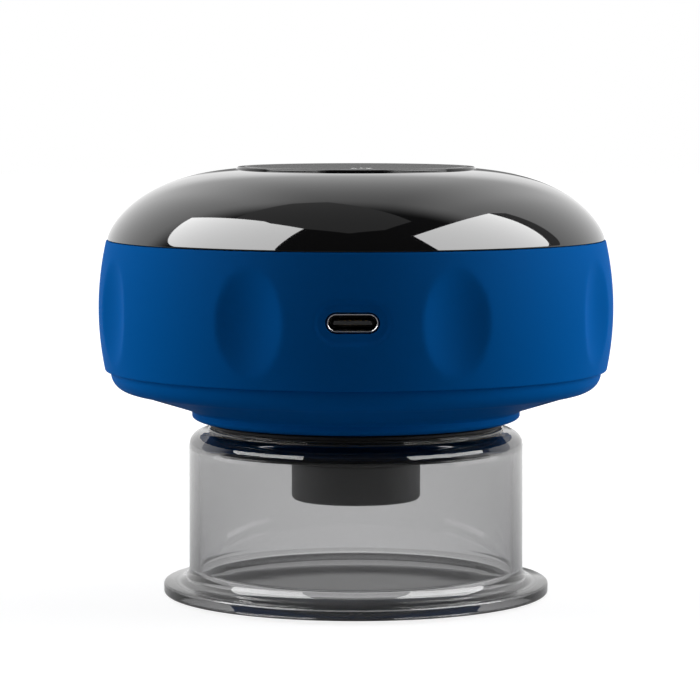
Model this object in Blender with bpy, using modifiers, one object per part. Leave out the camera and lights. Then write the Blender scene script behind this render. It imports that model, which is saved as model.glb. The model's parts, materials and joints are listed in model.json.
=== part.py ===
"""Electric cupping massager: a round suction pump unit that stands on a clear cup.

The origin is on the floor in the middle of the cup's rim. +Z is up and the charging port faces -Y.
"""
import math

import bmesh
import bpy
from mathutils import Matrix, Vector

MM = 0.001
HALF = 0.5

# Fits and cuts that all pieces share
GAP = 0.3 * MM
SCREW_FIT = 0.2 * MM
OVERRUN = 1.0 * MM
SINK = 0.4 * MM
MERGE = 0.01 * MM
TURN_STEPS = 32
HOUSING_STEPS = 64
PUMP_STEPS = 18
SMALL_STEPS = 10
SCREW_STEPS = 6

# Suction cup
SPIGOT_R = 24.6 * MM
CUP_RIM_Z = 29.4 * MM
SEAL_PROUD = 0.6 * MM
COLLAR_WALL = 1.8 * MM
COLLAR_H = 0.5 * MM
COLLAR_EDGE = 0.25 * MM
SHOULDER_STEP = 3.6 * MM
CUP_WALL = 2.0 * MM
CUP_SHOULDER = 2.8 * MM
CUP_INNER_SHOULDER = 1.6 * MM
FLANGE_W = 4.7 * MM
FLANGE_T = 2.1 * MM
FLANGE_EDGE = 0.5 * MM
FLANGE_FILLET = 2.4 * MM
MOUTH_FLARE_W = 4.1 * MM
MOUTH_FLARE_H = 4.1 * MM

# Suction head: the spigot that the cup is pushed over, with a stub tube for the filter
SPIGOT_REACH = 3.1 * MM
SPIGOT_WALL = 2.0 * MM
SPIGOT_FLOOR_T = 2.0 * MM
HEAD_FLANGE_LAP = 0.5 * MM
HEAD_FLANGE_T = 2.0 * MM
STUB_R = 10.2 * MM
STUB_WALL = 1.3 * MM
STUB_H = 6.0 * MM
AIR_BORE_R = 1.0 * MM
BARB_R = 1.5 * MM
BARB_H = 5.5 * MM
SEAL_T = 1.5 * MM
SEAL_H = 1.6 * MM
SEAL_DOWN = 0.2 * MM
NECK_GASKET_T = 0.6 * MM

# Filter in the stub tube
CAP_WALL = 1.4 * MM
CAP_H = 7.4 * MM
CAP_TOP_GAP = 1.6 * MM
CAP_FLOOR_T = 1.4 * MM
CAP_EDGE = 0.9 * MM
CAP_SLOT_W = 1.6 * MM
CAP_SLOT_R = 6.6 * MM
CAP_SLOTS = 3
SPONGE_H = 5.0 * MM

# Warming light over the spigot's floor
LAMPS = 6
LAMP_RING_SLACK = 1.6 * MM
LAMP_RING_W = 7.0 * MM
LAMP_HOLE_R = 2.0 * MM
GUIDE_T = 1.2 * MM
LAMP_BOARD_T = 1.0 * MM
LAMP_R = 1.5 * MM
LAMP_H = 1.3 * MM

# Blue base cover, from the neck up to the split line
NECK_WALL = 5.4 * MM
NECK_ROUND_W = 2.8 * MM
NECK_ROUND_H = 2.4 * MM
NECK_TOP_UP = 2.5 * MM
DISH_STEP_W = 1.3 * MM
DISH_STEP_H = 1.5 * MM
DISH_RISE = 3.1 * MM
COVER_T = 1.6 * MM
COVER_STEP = 0.8 * MM
COVER_CORNER_W = 3.6 * MM
COVER_CORNER_H = 2.4 * MM
COVER_EDGE_H = 0.3 * MM
LIP_H = 2.6 * MM
LIP_T = 1.5 * MM
BASE_PAD_T = 1.1 * MM

# Screws
SCREW_R = 1.0 * MM
SCREW_HEAD_R = 1.9 * MM
SCREW_HEAD_H = 1.3 * MM
BASE_SCREW_L = 6.5 * MM
BASE_SCREW_ANGLES = (90, 210, 330)
BASE_BOSS_R = 3.2 * MM
BASE_BOSS_H = 7.0 * MM
BASE_BOSS_UP = 1.0 * MM
HEAD_SCREW_L = 5.5 * MM
HEAD_SCREW_ANGLES = (30, 150, 270)
CHASSIS_SCREW_L = 4.0 * MM
CHASSIS_SCREW_ANGLES = (60, 180, 300)
CHASSIS_POST_R = 2.6 * MM
BOARD_SCREW_L = 4.2 * MM

# Chassis that carries the pump, the cell and the release valve
CHASSIS_T = 1.4 * MM
CHASSIS_MARGIN = 3.4 * MM
CHASSIS_TO_LIP = 3.0 * MM
CHASSIS_HOLE_R = 12.0 * MM
SADDLE_T = 2.0 * MM
SADDLE_LIFT = 0.5 * MM
SADDLE_H = 5.0 * MM
SADDLE_WIDTH_SHARE = 1.5

# Cell, which lies along X behind the middle
CELL_R = 9.2 * MM
CELL_L = 65.0 * MM
CELL_Y = 18.5 * MM
CELL_TO_WALL = 1.2 * MM
CELL_TIP_R = 2.8 * MM
CELL_TIP_H = 1.0 * MM
CELL_SADDLE_SHARE = 0.31

# Pump, whose axis lies along X in front of the middle. Places along it are x values.
PUMP_R = 12.8 * MM
HOSE_LANE = 10.5 * MM
MOTOR_FRONT_X = -1.0 * MM
MOTOR_L = 26.0 * MM
MOTOR_STEP = 0.6 * MM
MOTOR_WALL = 1.0 * MM
END_CAP_T = 2.2 * MM
SHAFT_R = 1.0 * MM
AIR_GAP = 0.3 * MM
CORE_L = 13.0 * MM
CORE_SLOT_R = 2.3 * MM
CORE_POLES = 3
COMMUTATOR_R = 2.4 * MM
COMMUTATOR_L = 4.5 * MM
MAGNET_T = 2.2 * MM
MAGNET_L = 15.0 * MM
MAGNET_SPAN = 15.0 * MM
HUB_R = 4.5 * MM
HUB_L = 3.6 * MM
HUB_CAP_T = 0.7 * MM
PIN_R = 0.8 * MM
PIN_L = 4.4 * MM
PIN_TILT = math.radians(8)
FRAME_WALL = 1.4 * MM
FRAME_BACK_T = 1.2 * MM
FRAME_ROOM = 1.2 * MM
ARM_W = 4.4 * MM
ARM_T = 1.4 * MM
ARM_DROP = 0.4 * MM
ARM_PAD_PROUD = 0.2 * MM
ARM_HOLE_R = 1.3 * MM
ARMS = 3
SLEEVE_R = 2.4 * MM
SLEEVE_L = 2.8 * MM
DIAPHRAGM_T = 1.2 * MM
STEM_R = 0.7 * MM
STEM_HEAD_R = 1.5 * MM
STEM_HEAD_T = 0.8 * MM
STEM_SLACK = 2.2 * MM
VALVE_PLATE_T = 2.4 * MM
VALVE_PORT_R = 0.8 * MM
VALVE_PORT_INSET = 1.0 * MM
PUMP_HEAD_L = 5.4 * MM
PUMP_CHAMBER_WALL = 2.8 * MM
PUMP_CHAMBER_L = 3.0 * MM
NOZZLE_R = 1.5 * MM
NOZZLE_L = 3.4 * MM
NOZZLE_UP = 5.0 * MM
MOTOR_SADDLE_IN = 9.0 * MM
FRAME_SADDLE_BACK = 3.8 * MM

# Release valve beyond the pump's end
VALVE_LEAD = 9.4 * MM
VALVE_W = 11.6 * MM
VALVE_D = 9.0 * MM
VALVE_H = 6.0 * MM
SEAT_UP = 4.6 * MM
VALVE_BARB_L = 3.6 * MM
COIL_SLACK = 0.4 * MM
COIL_H = 9.0 * MM
PLUNGER_R = 1.8 * MM
PLUNGER_L = 11.4 * MM
YOKE_T = 1.0 * MM
YOKE_D = 5.0 * MM
YOKE_H = 14.6 * MM
VALVE_SPRING_R = 1.3 * MM
SPRING_WIRE_R = 0.2 * MM
SPRING_TURNS = 3
SPRING_TURN_STEPS = 8

# Hoses
HOSE_R = 2.6 * MM
HOSE_BORE_R = 1.9 * MM
HOSE_STEPS = 14
HOSE_RISE_SHARE = 0.09
HOSE_BEND_SHARE = 0.4
HOSE_LEVEL_SHARE = 0.7

# Boards and what is on them
BOARD_TO_PUMP = 1.4 * MM
MAIN_BOARD_T = 1.5 * MM
MAIN_BOARD_MARGIN = 3.5 * MM
BOARD_TO_SKIRT = 7.5 * MM
BOARD_BOSS_R = 2.6 * MM
BOARD_BOSS_ANGLES = (30, 150, 270)
BOARD_PARTS_H = 2.3 * MM
CHIP_W = 7.0 * MM
CHIP_H = 1.0 * MM
CHIP_PLACE_SHARES = (-0.34, 0.12)
CHARGER_W = 4.0 * MM
CHARGER_PLACE_SHARES = (0.12, -0.58)
INDUCTOR_W = 6.0 * MM
INDUCTOR_H = 2.0 * MM
INDUCTOR_PLACE_SHARES = (0.40, 0.52)
SOCKET_W = 7.0 * MM
SOCKET_D = 5.0 * MM
SOCKET_H = 2.0 * MM
CELL_SOCKET_PLACE_SHARES = (-0.58, 0.52)
PUMP_SOCKET_PLACE_SHARES = (-0.64, -0.35)
BUZZER_R = 4.0 * MM
BUZZER_H = 1.9 * MM
BUZZER_ANGLE = -26
TOUCH_BOARD_T = 1.0 * MM
DISPLAY_W = 22.0 * MM
DISPLAY_D = 9.0 * MM
DISPLAY_T = 1.4 * MM
DISPLAY_Y = 1.0 * MM
TOUCH_PAD_R = 2.5 * MM
TOUCH_PAD_PLACE_SHARES = ((0.0, -0.70), (-0.75, -0.35), (0.75, -0.35))

# Black top dome and its touch window
DOME_H = 14.05 * MM
DOME_WALL = 2.2 * MM
DOME_STEP = 0.3 * MM
DOME_BULGE = 3.0
DOME_ROUND = 0.54
DOME_ROWS = 7
DOME_INNER_ROWS = 4
DOME_LAND = 0.3 * MM
SKIRT_T = 1.5 * MM
SKIRT_H = 3.8 * MM
RIM_EXTRA_T = 0.2 * MM
BEAD_PROUD = 0.65 * MM
BEAD_H = 0.8 * MM
PANEL_R = 21.9 * MM
PANEL_T = 2.45 * MM
PANEL_EDGE = 0.3 * MM
PANEL_ROWS = 3
PANEL_SEAT_W = 2.2 * MM
WELL_WALL = 2.2 * MM
WELL_LEDGE_W = 1.4 * MM
WELL_LEDGE_T = 0.8 * MM
WELL_H = 3.7 * MM

# Blue main housing
BARREL_RADIUS = 55.0 * MM
HOUSING_WALL = 2.0 * MM
HOUSING_EDGE = 0.6 * MM
HOUSING_ROWS = 9
SEAM_GAP = 0.3 * MM
DENTS = 8
DENT_W = 12.8 * MM
DENT_H = 19.0 * MM
DENT_UP = 0.3 * MM
DENT_DEPTH = 1.5 * MM

# Charging port in the front of the housing
PORT_UP = 0.6 * MM
PORT_RECESS_W = 12.4 * MM
PORT_RECESS_H = 6.9 * MM
PORT_RECESS_DEPTH = 1.2 * MM
USB_W = 8.94 * MM
USB_H = 3.26 * MM
USB_L = 7.3 * MM
USB_WALL = 0.35 * MM
USB_SLACK = 0.4 * MM
TONGUE_W = 6.6 * MM
TONGUE_T = 0.7 * MM
TONGUE_BLOCK_L = 1.4 * MM
TONGUE_BACK = 0.6 * MM
USB_BOARD_W = 13.0 * MM
USB_BOARD_L = 12.0 * MM
USB_BOARD_T = 1.0 * MM
USB_BOARD_INSET = 3.2 * MM
RAIL_W = 1.6 * MM
RAIL_H = 3.0 * MM

# Heights from the cup up to the split line
GASKET_Z = CUP_RIM_Z + GAP
NECK_BOTTOM_Z = GASKET_Z + NECK_GASKET_T + GAP
NECK_Z = NECK_BOTTOM_Z + NECK_ROUND_H
DISH_Z = NECK_Z + DISH_STEP_H
CORNER_BOTTOM_Z = DISH_Z + DISH_RISE
COVER_TOP_Z = CORNER_BOTTOM_Z + COVER_CORNER_H + COVER_EDGE_H
SPLIT_Z = COVER_TOP_Z + GAP * HALF
HOUSING_BOTTOM_Z = SPLIT_Z + GAP * HALF
NECK_TOP_Z = NECK_Z + NECK_TOP_UP
SPIGOT_BOTTOM_Z = CUP_RIM_Z - SPIGOT_REACH
SPIGOT_FLOOR_Z = SPIGOT_BOTTOM_Z + SPIGOT_FLOOR_T
SEAL_TOP_Z = CUP_RIM_Z - SEAL_DOWN
STUB_BOTTOM_Z = SPIGOT_BOTTOM_Z - STUB_H
CAP_BOTTOM_Z = SPIGOT_BOTTOM_Z - CAP_TOP_GAP - CAP_H
HEAD_FLANGE_Z = NECK_TOP_Z + GAP
HEAD_TOP_Z = HEAD_FLANGE_Z + HEAD_FLANGE_T

# Heights of what stands on the chassis, and of the boards, window and dome over it
CHASSIS_Z = HEAD_TOP_Z + SCREW_FIT + SCREW_HEAD_H + GAP
CHASSIS_TOP_Z = CHASSIS_Z + CHASSIS_T
POST_TOP_Z = CHASSIS_Z - GAP
BASE_BOSS_Z = CHASSIS_Z + BASE_BOSS_UP
BASE_PAD_TOP_Z = BASE_BOSS_Z - GAP
BASE_POCKET_TOP_Z = BASE_PAD_TOP_Z - BASE_PAD_T
PUMP_Z = CHASSIS_TOP_Z + SADDLE_LIFT + GAP + PUMP_R
CELL_Z = CHASSIS_TOP_Z + SADDLE_LIFT + GAP + CELL_R
MAIN_BOARD_Z = PUMP_Z + PUMP_R + BOARD_TO_PUMP
MAIN_BOARD_TOP_Z = MAIN_BOARD_Z + MAIN_BOARD_T
WELL_BOTTOM_Z = MAIN_BOARD_TOP_Z + BOARD_PARTS_H
TOUCH_BOARD_Z = WELL_BOTTOM_Z + WELL_LEDGE_T + GAP
TOUCH_BOARD_TOP_Z = TOUCH_BOARD_Z + TOUCH_BOARD_T
PANEL_SEAT_Z = WELL_BOTTOM_Z + WELL_H
PANEL_UNDER_Z = PANEL_SEAT_Z + GAP
DOME_TOP_Z = PANEL_UNDER_Z + PANEL_T
SEAM_Z = DOME_TOP_Z - DOME_H
HOUSING_TOP_Z = SEAM_Z - SEAM_GAP
BODY_MID_Z = (SPLIT_Z + SEAM_Z) * HALF
PORT_Z = BODY_MID_Z + PORT_UP
DENT_Z = BODY_MID_Z + DENT_UP

# Radii that follow the spigot
CUP_BORE_R = SPIGOT_R + SEAL_PROUD + GAP
COLLAR_R = CUP_BORE_R + COLLAR_WALL
CUP_R = COLLAR_R + SHOULDER_STEP
FLANGE_R = CUP_R + FLANGE_W
MOUTH_R = CUP_R - CUP_WALL + MOUTH_FLARE_W
SEAL_R = SPIGOT_R + SEAL_PROUD
SPIGOT_INNER_R = SPIGOT_R - SPIGOT_WALL
HOLE_R = SPIGOT_R + GAP
NECK_R = HOLE_R + NECK_WALL
HEAD_FLANGE_R = NECK_R + HEAD_FLANGE_LAP
HEAD_SCREW_CIRCLE_R = HOLE_R + NECK_WALL * HALF
LAMP_RING_R = SPIGOT_INNER_R - LAMP_RING_SLACK - LAMP_RING_W * HALF
STUB_INNER_R = STUB_R - STUB_WALL
CAP_R = STUB_R + GAP + CAP_WALL
CHASSIS_SCREW_CIRCLE_R = HEAD_FLANGE_R + GAP + GAP + CHASSIS_POST_R
CHASSIS_R = CHASSIS_SCREW_CIRCLE_R + CHASSIS_MARGIN

# The casing is as wide as the cell's corners and the chassis need
CELL_CORNER_R = math.hypot(CELL_L * HALF, CELL_Y + CELL_R)
ROOM_R = max(CELL_CORNER_R + CELL_TO_WALL, CHASSIS_R + CHASSIS_TO_LIP + LIP_T)
BODY_R = ROOM_R + DENT_DEPTH + HOUSING_WALL
END_DROP = (SEAM_Z - BODY_MID_Z) ** 2 / (BARREL_RADIUS / HALF)
END_R = BODY_R - END_DROP
COVER_R = END_R - COVER_STEP
LIP_R = END_R - HOUSING_WALL - GAP - GAP
BASE_SCREW_CIRCLE_R = LIP_R - LIP_T - GAP - BASE_BOSS_R
DOME_R = END_R - DOME_STEP
SKIRT_R = END_R - HOUSING_WALL - RIM_EXTRA_T - GAP
MAIN_BOARD_R = SKIRT_R - SKIRT_T - BOARD_TO_SKIRT
BOARD_BOSS_CIRCLE_R = MAIN_BOARD_R - MAIN_BOARD_MARGIN
WELL_OUTER_R = PANEL_R + GAP + WELL_WALL
WELL_R = PANEL_R + GAP - PANEL_SEAT_W

# Places of the pump's and the valve's pieces
PUMP_Y = CELL_Y - CELL_R - HOSE_LANE - PUMP_R
MOTOR_R = PUMP_R - MOTOR_STEP
CORE_R = MOTOR_R - MOTOR_WALL - GAP - MAGNET_T - AIR_GAP
MOTOR_BACK_X = MOTOR_FRONT_X - MOTOR_L
HUB_BACK_X = MOTOR_FRONT_X + GAP + GAP
HUB_FRONT_X = HUB_BACK_X + HUB_L
HUB_BORE_X = HUB_FRONT_X - HUB_CAP_T
SHAFT_END_X = HUB_BORE_X - GAP
NUTATION_X = HUB_FRONT_X + PIN_L
FRAME_FRONT_X = NUTATION_X + FRAME_ROOM
DIAPHRAGM_X = FRAME_FRONT_X + GAP
VALVE_PLATE_X = DIAPHRAGM_X + DIAPHRAGM_T + GAP
PUMP_HEAD_X = VALVE_PLATE_X + VALVE_PLATE_T + GAP
PUMP_HEAD_END_X = PUMP_HEAD_X + PUMP_HEAD_L
ARM_REACH = PUMP_R - FRAME_WALL - ARM_W
VALVE_PORT_CIRCLE_R = ARM_REACH - VALVE_PORT_INSET
STEM_L = DIAPHRAGM_X - NUTATION_X + ARM_T + STEM_HEAD_T + STEM_SLACK
VALVE_X = PUMP_HEAD_END_X + NOZZLE_L + VALVE_LEAD
VALVE_Z = CHASSIS_TOP_Z + GAP
VALVE_TOP_Z = VALVE_Z + VALVE_H
VALVE_BARB_Z = VALVE_Z + VALVE_H * HALF
PLUNGER_Z = VALVE_Z + SEAT_UP
COIL_BORE_R = PLUNGER_R + COIL_SLACK
COIL_Z = VALVE_TOP_Z + GAP
YOKE_W = VALVE_W - GAP - GAP
COIL_R = (YOKE_W - YOKE_T - YOKE_T) * HALF - COIL_SLACK

# Colours, roughness and metal
BLUE = ((0.004, 0.100, 0.330), 0.55, 0.0)
GLOSS_BLACK = ((0.004, 0.004, 0.005), 0.08, 0.0)
WINDOW_BLACK = ((0.010, 0.010, 0.011), 0.30, 0.0)
MATT_BLACK = ((0.020, 0.020, 0.022), 0.60, 0.0)
RUBBER_BLACK = ((0.012, 0.012, 0.013), 0.75, 0.0)
DARK_GREY = ((0.045, 0.045, 0.048), 0.50, 0.0)
SMOKE = ((0.300, 0.300, 0.310), 0.05, 0.0)
CLEAR = ((0.800, 0.800, 0.800), 0.10, 0.0)
WHITE = ((0.700, 0.700, 0.680), 0.50, 0.0)
STEEL = ((0.550, 0.550, 0.560), 0.30, 1.0)
COPPER = ((0.600, 0.250, 0.100), 0.35, 1.0)
BOARD_GREEN = ((0.010, 0.110, 0.040), 0.45, 0.0)
CELL_WRAP = ((0.050, 0.200, 0.120), 0.40, 0.0)
SPONGE_GREY = ((0.180, 0.180, 0.180), 0.95, 0.0)
SILICONE = ((0.550, 0.550, 0.530), 0.40, 0.0)

PART_COLLECTION = "electric_cupping_massager"
CUTTER_COLLECTION = "cutters"


def remove_everything():
    for obj in list(bpy.data.objects):
        bpy.data.objects.remove(obj, do_unlink=True)


def new_collection(name):
    collection = bpy.data.collections.new(name)
    bpy.context.scene.collection.children.link(collection)
    return collection


remove_everything()
PART = new_collection(PART_COLLECTION)
CUTTERS = new_collection(CUTTER_COLLECTION)


def material(name, look):
    found = bpy.data.materials.get(name)
    if found:
        return found
    colour, roughness, metallic = look
    made = bpy.data.materials.new(name)
    made.use_nodes = True
    surface = made.node_tree.nodes["Principled BSDF"]
    surface.inputs["Base Color"].default_value = (*colour, 1.0)
    surface.inputs["Roughness"].default_value = roughness
    surface.inputs["Metallic"].default_value = metallic
    made.diffuse_color = (*colour, 1.0)
    return made


def add_object(name, data, look=None):
    """Put a mesh or curve in the part's collection, with a material of its own."""
    obj = bpy.data.objects.new(name, data)
    PART.objects.link(obj)
    if look:
        data.materials.append(material(name + "_finish", look))
    return obj


def as_tool(obj):
    """Turn an object into a tool that cuts or joins others and isn't built itself."""
    PART.objects.unlink(obj)
    CUTTERS.objects.link(obj)
    obj.hide_render = True
    obj.display_type = "WIRE"
    return obj


def boolean(target, tool, operation):
    if tool.name not in CUTTERS.objects:
        as_tool(tool)
    step = target.modifiers.new(operation.lower() + "_" + tool.name, "BOOLEAN")
    step.operation = operation
    step.solver = "EXACT"
    step.object = tool
    return target


def cut(target, tool):
    return boolean(target, tool, "DIFFERENCE")


def join(target, tool):
    return boolean(target, tool, "UNION")


def evaluated_copy(obj):
    """Replace an object's curve or mesh with its evaluated mesh, so that points can be moved."""
    graph = bpy.context.evaluated_depsgraph_get()
    mesh = bpy.data.meshes.new_from_object(obj.evaluated_get(graph))
    made = bpy.data.objects.new(obj.name + "_mesh", mesh)
    made.matrix_world = obj.matrix_world
    PART.objects.link(made)
    name = obj.name
    bpy.data.objects.remove(obj, do_unlink=True)
    made.name = name
    return made


def weld(obj):
    work = bmesh.new()
    work.from_mesh(obj.data)
    bmesh.ops.remove_doubles(work, verts=work.verts, dist=MERGE)
    bmesh.ops.recalc_face_normals(work, faces=work.faces)
    work.to_mesh(obj.data)
    work.free()
    return obj


def turned(name, points, look=None, steps=TURN_STEPS):
    """A ring turned about Z from a closed profile of (radius, height) points.

    The points run down the outer side and up the inner side. A solid that reaches the axis
    starts and ends on it, and its profile stays open.
    """
    closed = points[0][0] > MERGE
    mesh = bpy.data.meshes.new(name)
    count = len(points)
    edges = [(i, i + 1) for i in range(count - 1)]
    if closed:
        edges.append((count - 1, 0))
    mesh.from_pydata([(r, 0, z) for r, z in points], edges, [])
    obj = add_object(name, mesh, look)
    screw = obj.modifiers.new("turn", "SCREW")
    screw.angle = math.tau
    screw.steps = steps
    screw.render_steps = steps
    screw.use_merge_vertices = True
    screw.merge_threshold = MERGE
    screw.use_smooth_shade = True
    return obj


def disc_points(radius, low, high):
    return [(0, high), (radius, high), (radius, low), (0, low)]


def ring_points(outer, inner, low, high):
    return [(outer, high), (outer, low), (inner, low), (inner, high)]


def primitive(name, build, look):
    mesh = bpy.data.meshes.new(name)
    work = bmesh.new()
    build(work)
    work.to_mesh(mesh)
    work.free()
    return add_object(name, mesh, look)


def box(name, size, centre, look=None):
    """A box of the given size along X, Y and Z."""
    place = Matrix.Translation(centre) @ Matrix.Diagonal((*size, 1.0))
    return primitive(name, lambda work: bmesh.ops.create_cube(work, size=1.0, matrix=place), look)


def cylinder(name, radius, low, high, x=0, y=0, look=None, steps=SMALL_STEPS):
    """An upright cylinder from one height to another."""
    place = Matrix.Translation((x, y, (low + high) * HALF))

    def build(work):
        bmesh.ops.create_cone(work, cap_ends=True, segments=steps, radius1=radius, radius2=radius,
                              depth=high - low, matrix=place)
    return primitive(name, build, look)


def obround(name, width, height, front, back, z, look=None, end_steps=8):
    """A bar along Y with round ends to its cross-section, from one y to another."""
    radius = height * HALF
    reach = width * HALF - radius
    outline = []
    for side, start in ((1, -math.pi / 2), (-1, math.pi / 2)):
        for i in range(end_steps + 1):
            angle = start + math.pi * i / end_steps
            outline.append((side * reach + radius * math.cos(angle), z + radius * math.sin(angle)))

    def build(work):
        face = work.faces.new([work.verts.new((px, front, pz)) for px, pz in outline])
        grown = bmesh.ops.extrude_face_region(work, geom=[face])
        moved = [item for item in grown["geom"] if isinstance(item, bmesh.types.BMVert)]
        bmesh.ops.translate(work, verts=moved, vec=(0, back - front, 0))
        bmesh.ops.recalc_face_normals(work, faces=work.faces)
    return primitive(name, build, look)


def arc(centre_r, centre_z, width, height, start, end, steps):
    """Points of an elliptical arc in the profile plane, from one angle in degrees to another."""
    points = []
    for i in range(steps + 1):
        angle = math.radians(start + (end - start) * i / steps)
        points.append((centre_r + width * math.cos(angle), centre_z + height * math.sin(angle)))
    return points


def around(radius, angle):
    turn = math.radians(angle)
    return radius * math.cos(turn), radius * math.sin(turn)


def screw_hole(name, low, high, x, y):
    return cylinder(name, SCREW_R + SCREW_FIT, low, high, x, y, steps=SCREW_STEPS)


def barrel_radius(z):
    """The housing's outer radius at a height, without the dents."""
    return BODY_R - (z - BODY_MID_Z) ** 2 / (BARREL_RADIUS / HALF)


def dome_height(r, radius, height):
    """The height of a dome over its seam: flat in the middle and steep at the edge."""
    share = max(1 - (r / radius) ** DOME_BULGE, 0)
    return height * share ** DOME_ROUND


# Cup and suction head


def make_cup():
    shoulder_z = CUP_RIM_Z - COLLAR_H
    inner_r = CUP_R - CUP_WALL
    inner_z = shoulder_z - CUP_WALL
    edge = FLANGE_EDGE
    points = [(CUP_BORE_R, CUP_RIM_Z), (COLLAR_R - COLLAR_EDGE, CUP_RIM_Z),
              (COLLAR_R, CUP_RIM_Z - COLLAR_EDGE), (COLLAR_R, shoulder_z)]
    points += arc(CUP_R - CUP_SHOULDER, shoulder_z - CUP_SHOULDER, CUP_SHOULDER, CUP_SHOULDER, 90, 0, 3)
    points += arc(CUP_R + FLANGE_FILLET, FLANGE_T + FLANGE_FILLET, FLANGE_FILLET, FLANGE_FILLET,
                  180, 270, 3)
    points += arc(FLANGE_R - edge, FLANGE_T - edge, edge, edge, 90, 0, 1)
    points += arc(FLANGE_R - edge, edge, edge, edge, 0, -90, 1)
    points += arc(MOUTH_R, MOUTH_FLARE_H, MOUTH_R - inner_r, MOUTH_FLARE_H, 270, 180, 3)
    points += arc(inner_r - CUP_INNER_SHOULDER, inner_z - CUP_INNER_SHOULDER,
                  CUP_INNER_SHOULDER, CUP_INNER_SHOULDER, 0, 90, 2)
    points.append((CUP_BORE_R, inner_z))
    return turned("cup", points, SMOKE)


def make_seal_ring():
    low = SEAL_TOP_Z - SEAL_H
    return turned("seal_ring", ring_points(SEAL_R, SEAL_R - SEAL_T, low, SEAL_TOP_Z), RUBBER_BLACK)


def make_neck_gasket():
    points = ring_points(NECK_R - NECK_ROUND_W - SINK, HOLE_R, GASKET_Z, GASKET_Z + NECK_GASKET_T)
    return turned("neck_gasket", points, RUBBER_BLACK)


def make_suction_head():
    groove_r = SEAL_R - SEAL_T - GAP
    points = [(BARB_R, SPIGOT_FLOOR_Z + BARB_H), (BARB_R, SPIGOT_FLOOR_Z),
              (SPIGOT_INNER_R, SPIGOT_FLOOR_Z), (SPIGOT_INNER_R, HEAD_TOP_Z),
              (HEAD_FLANGE_R, HEAD_TOP_Z), (HEAD_FLANGE_R, HEAD_FLANGE_Z),
              (SPIGOT_R, HEAD_FLANGE_Z), (SPIGOT_R, SEAL_TOP_Z + GAP), (groove_r, SEAL_TOP_Z + GAP),
              (groove_r, SEAL_TOP_Z - SEAL_H - GAP), (SPIGOT_R, SEAL_TOP_Z - SEAL_H - GAP),
              (SPIGOT_R, SPIGOT_BOTTOM_Z + SINK), (SPIGOT_R - SINK, SPIGOT_BOTTOM_Z),
              (STUB_R, SPIGOT_BOTTOM_Z), (STUB_R, STUB_BOTTOM_Z), (STUB_INNER_R, STUB_BOTTOM_Z),
              (STUB_INNER_R, SPIGOT_BOTTOM_Z), (AIR_BORE_R, SPIGOT_BOTTOM_Z),
              (AIR_BORE_R, SPIGOT_FLOOR_Z + BARB_H)]
    head = turned("suction_head", points, MATT_BLACK)
    for i in range(LAMPS):
        x, y = around(LAMP_RING_R, 360 * i / LAMPS)
        cut(head, cylinder(f"lamp_hole_{i}", LAMP_HOLE_R, SPIGOT_BOTTOM_Z - OVERRUN,
                           SPIGOT_FLOOR_Z + OVERRUN, x, y))
    for i, angle in enumerate(HEAD_SCREW_ANGLES):
        x, y = around(HEAD_SCREW_CIRCLE_R, angle)
        cut(head, screw_hole(f"head_hole_{i}", HEAD_FLANGE_Z - OVERRUN, HEAD_TOP_Z + OVERRUN, x, y))
    return head


def make_filter_cap():
    top = CAP_BOTTOM_Z + CAP_H
    floor = CAP_BOTTOM_Z + CAP_FLOOR_T
    points = [(0, floor), (STUB_R + GAP, floor), (STUB_R + GAP, top), (CAP_R, top)]
    points += arc(CAP_R - CAP_EDGE, CAP_BOTTOM_Z + CAP_EDGE, CAP_EDGE, CAP_EDGE, 0, -90, 3)
    points.append((0, CAP_BOTTOM_Z))
    cap = turned("filter_cap", points, DARK_GREY, PUMP_STEPS)
    for i in range(CAP_SLOTS):
        slot = box(f"cap_slot_{i}", (CAP_SLOT_R / HALF, CAP_SLOT_W, CAP_FLOOR_T + OVERRUN / HALF),
                   (0, 0, CAP_BOTTOM_Z + CAP_FLOOR_T * HALF))
        slot.matrix_world = Matrix.Rotation(math.pi * i / CAP_SLOTS, 4, "Z")
        cut(cap, slot)
    return cap


def make_filter_sponge():
    low = CAP_BOTTOM_Z + CAP_FLOOR_T + GAP
    points = disc_points(STUB_INNER_R - GAP, low, low + SPONGE_H)
    return turned("filter_sponge", points, SPONGE_GREY, SMALL_STEPS)


def make_lamp_guide():
    low = SPIGOT_FLOOR_Z + GAP
    half = LAMP_RING_W * HALF
    points = ring_points(LAMP_RING_R + half, LAMP_RING_R - half, low, low + GUIDE_T)
    guide = turned("lamp_guide", points, CLEAR, PUMP_STEPS)
    for i in range(LAMPS):
        x, y = around(LAMP_RING_R, 360 * i / LAMPS)
        join(guide, cylinder(f"light_pip_{i}", LAMP_HOLE_R - GAP, SPIGOT_BOTTOM_Z, low + SINK, x, y,
                             steps=SCREW_STEPS))
    return guide


def make_lamp_board():
    guide_top = SPIGOT_FLOOR_Z + GAP + GUIDE_T
    low = guide_top + GAP + LAMP_H
    half = LAMP_RING_W * HALF
    board = turned("lamp_board", ring_points(LAMP_RING_R + half, LAMP_RING_R - half, low, low + LAMP_BOARD_T),
                   BOARD_GREEN, PUMP_STEPS)
    for i in range(LAMPS):
        x, y = around(LAMP_RING_R, 360 * i / LAMPS)
        join(board, cylinder(f"lamp_{i}", LAMP_R, guide_top + GAP, low + SINK, x, y, steps=SCREW_STEPS))
    return board


# Blue casing


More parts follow.
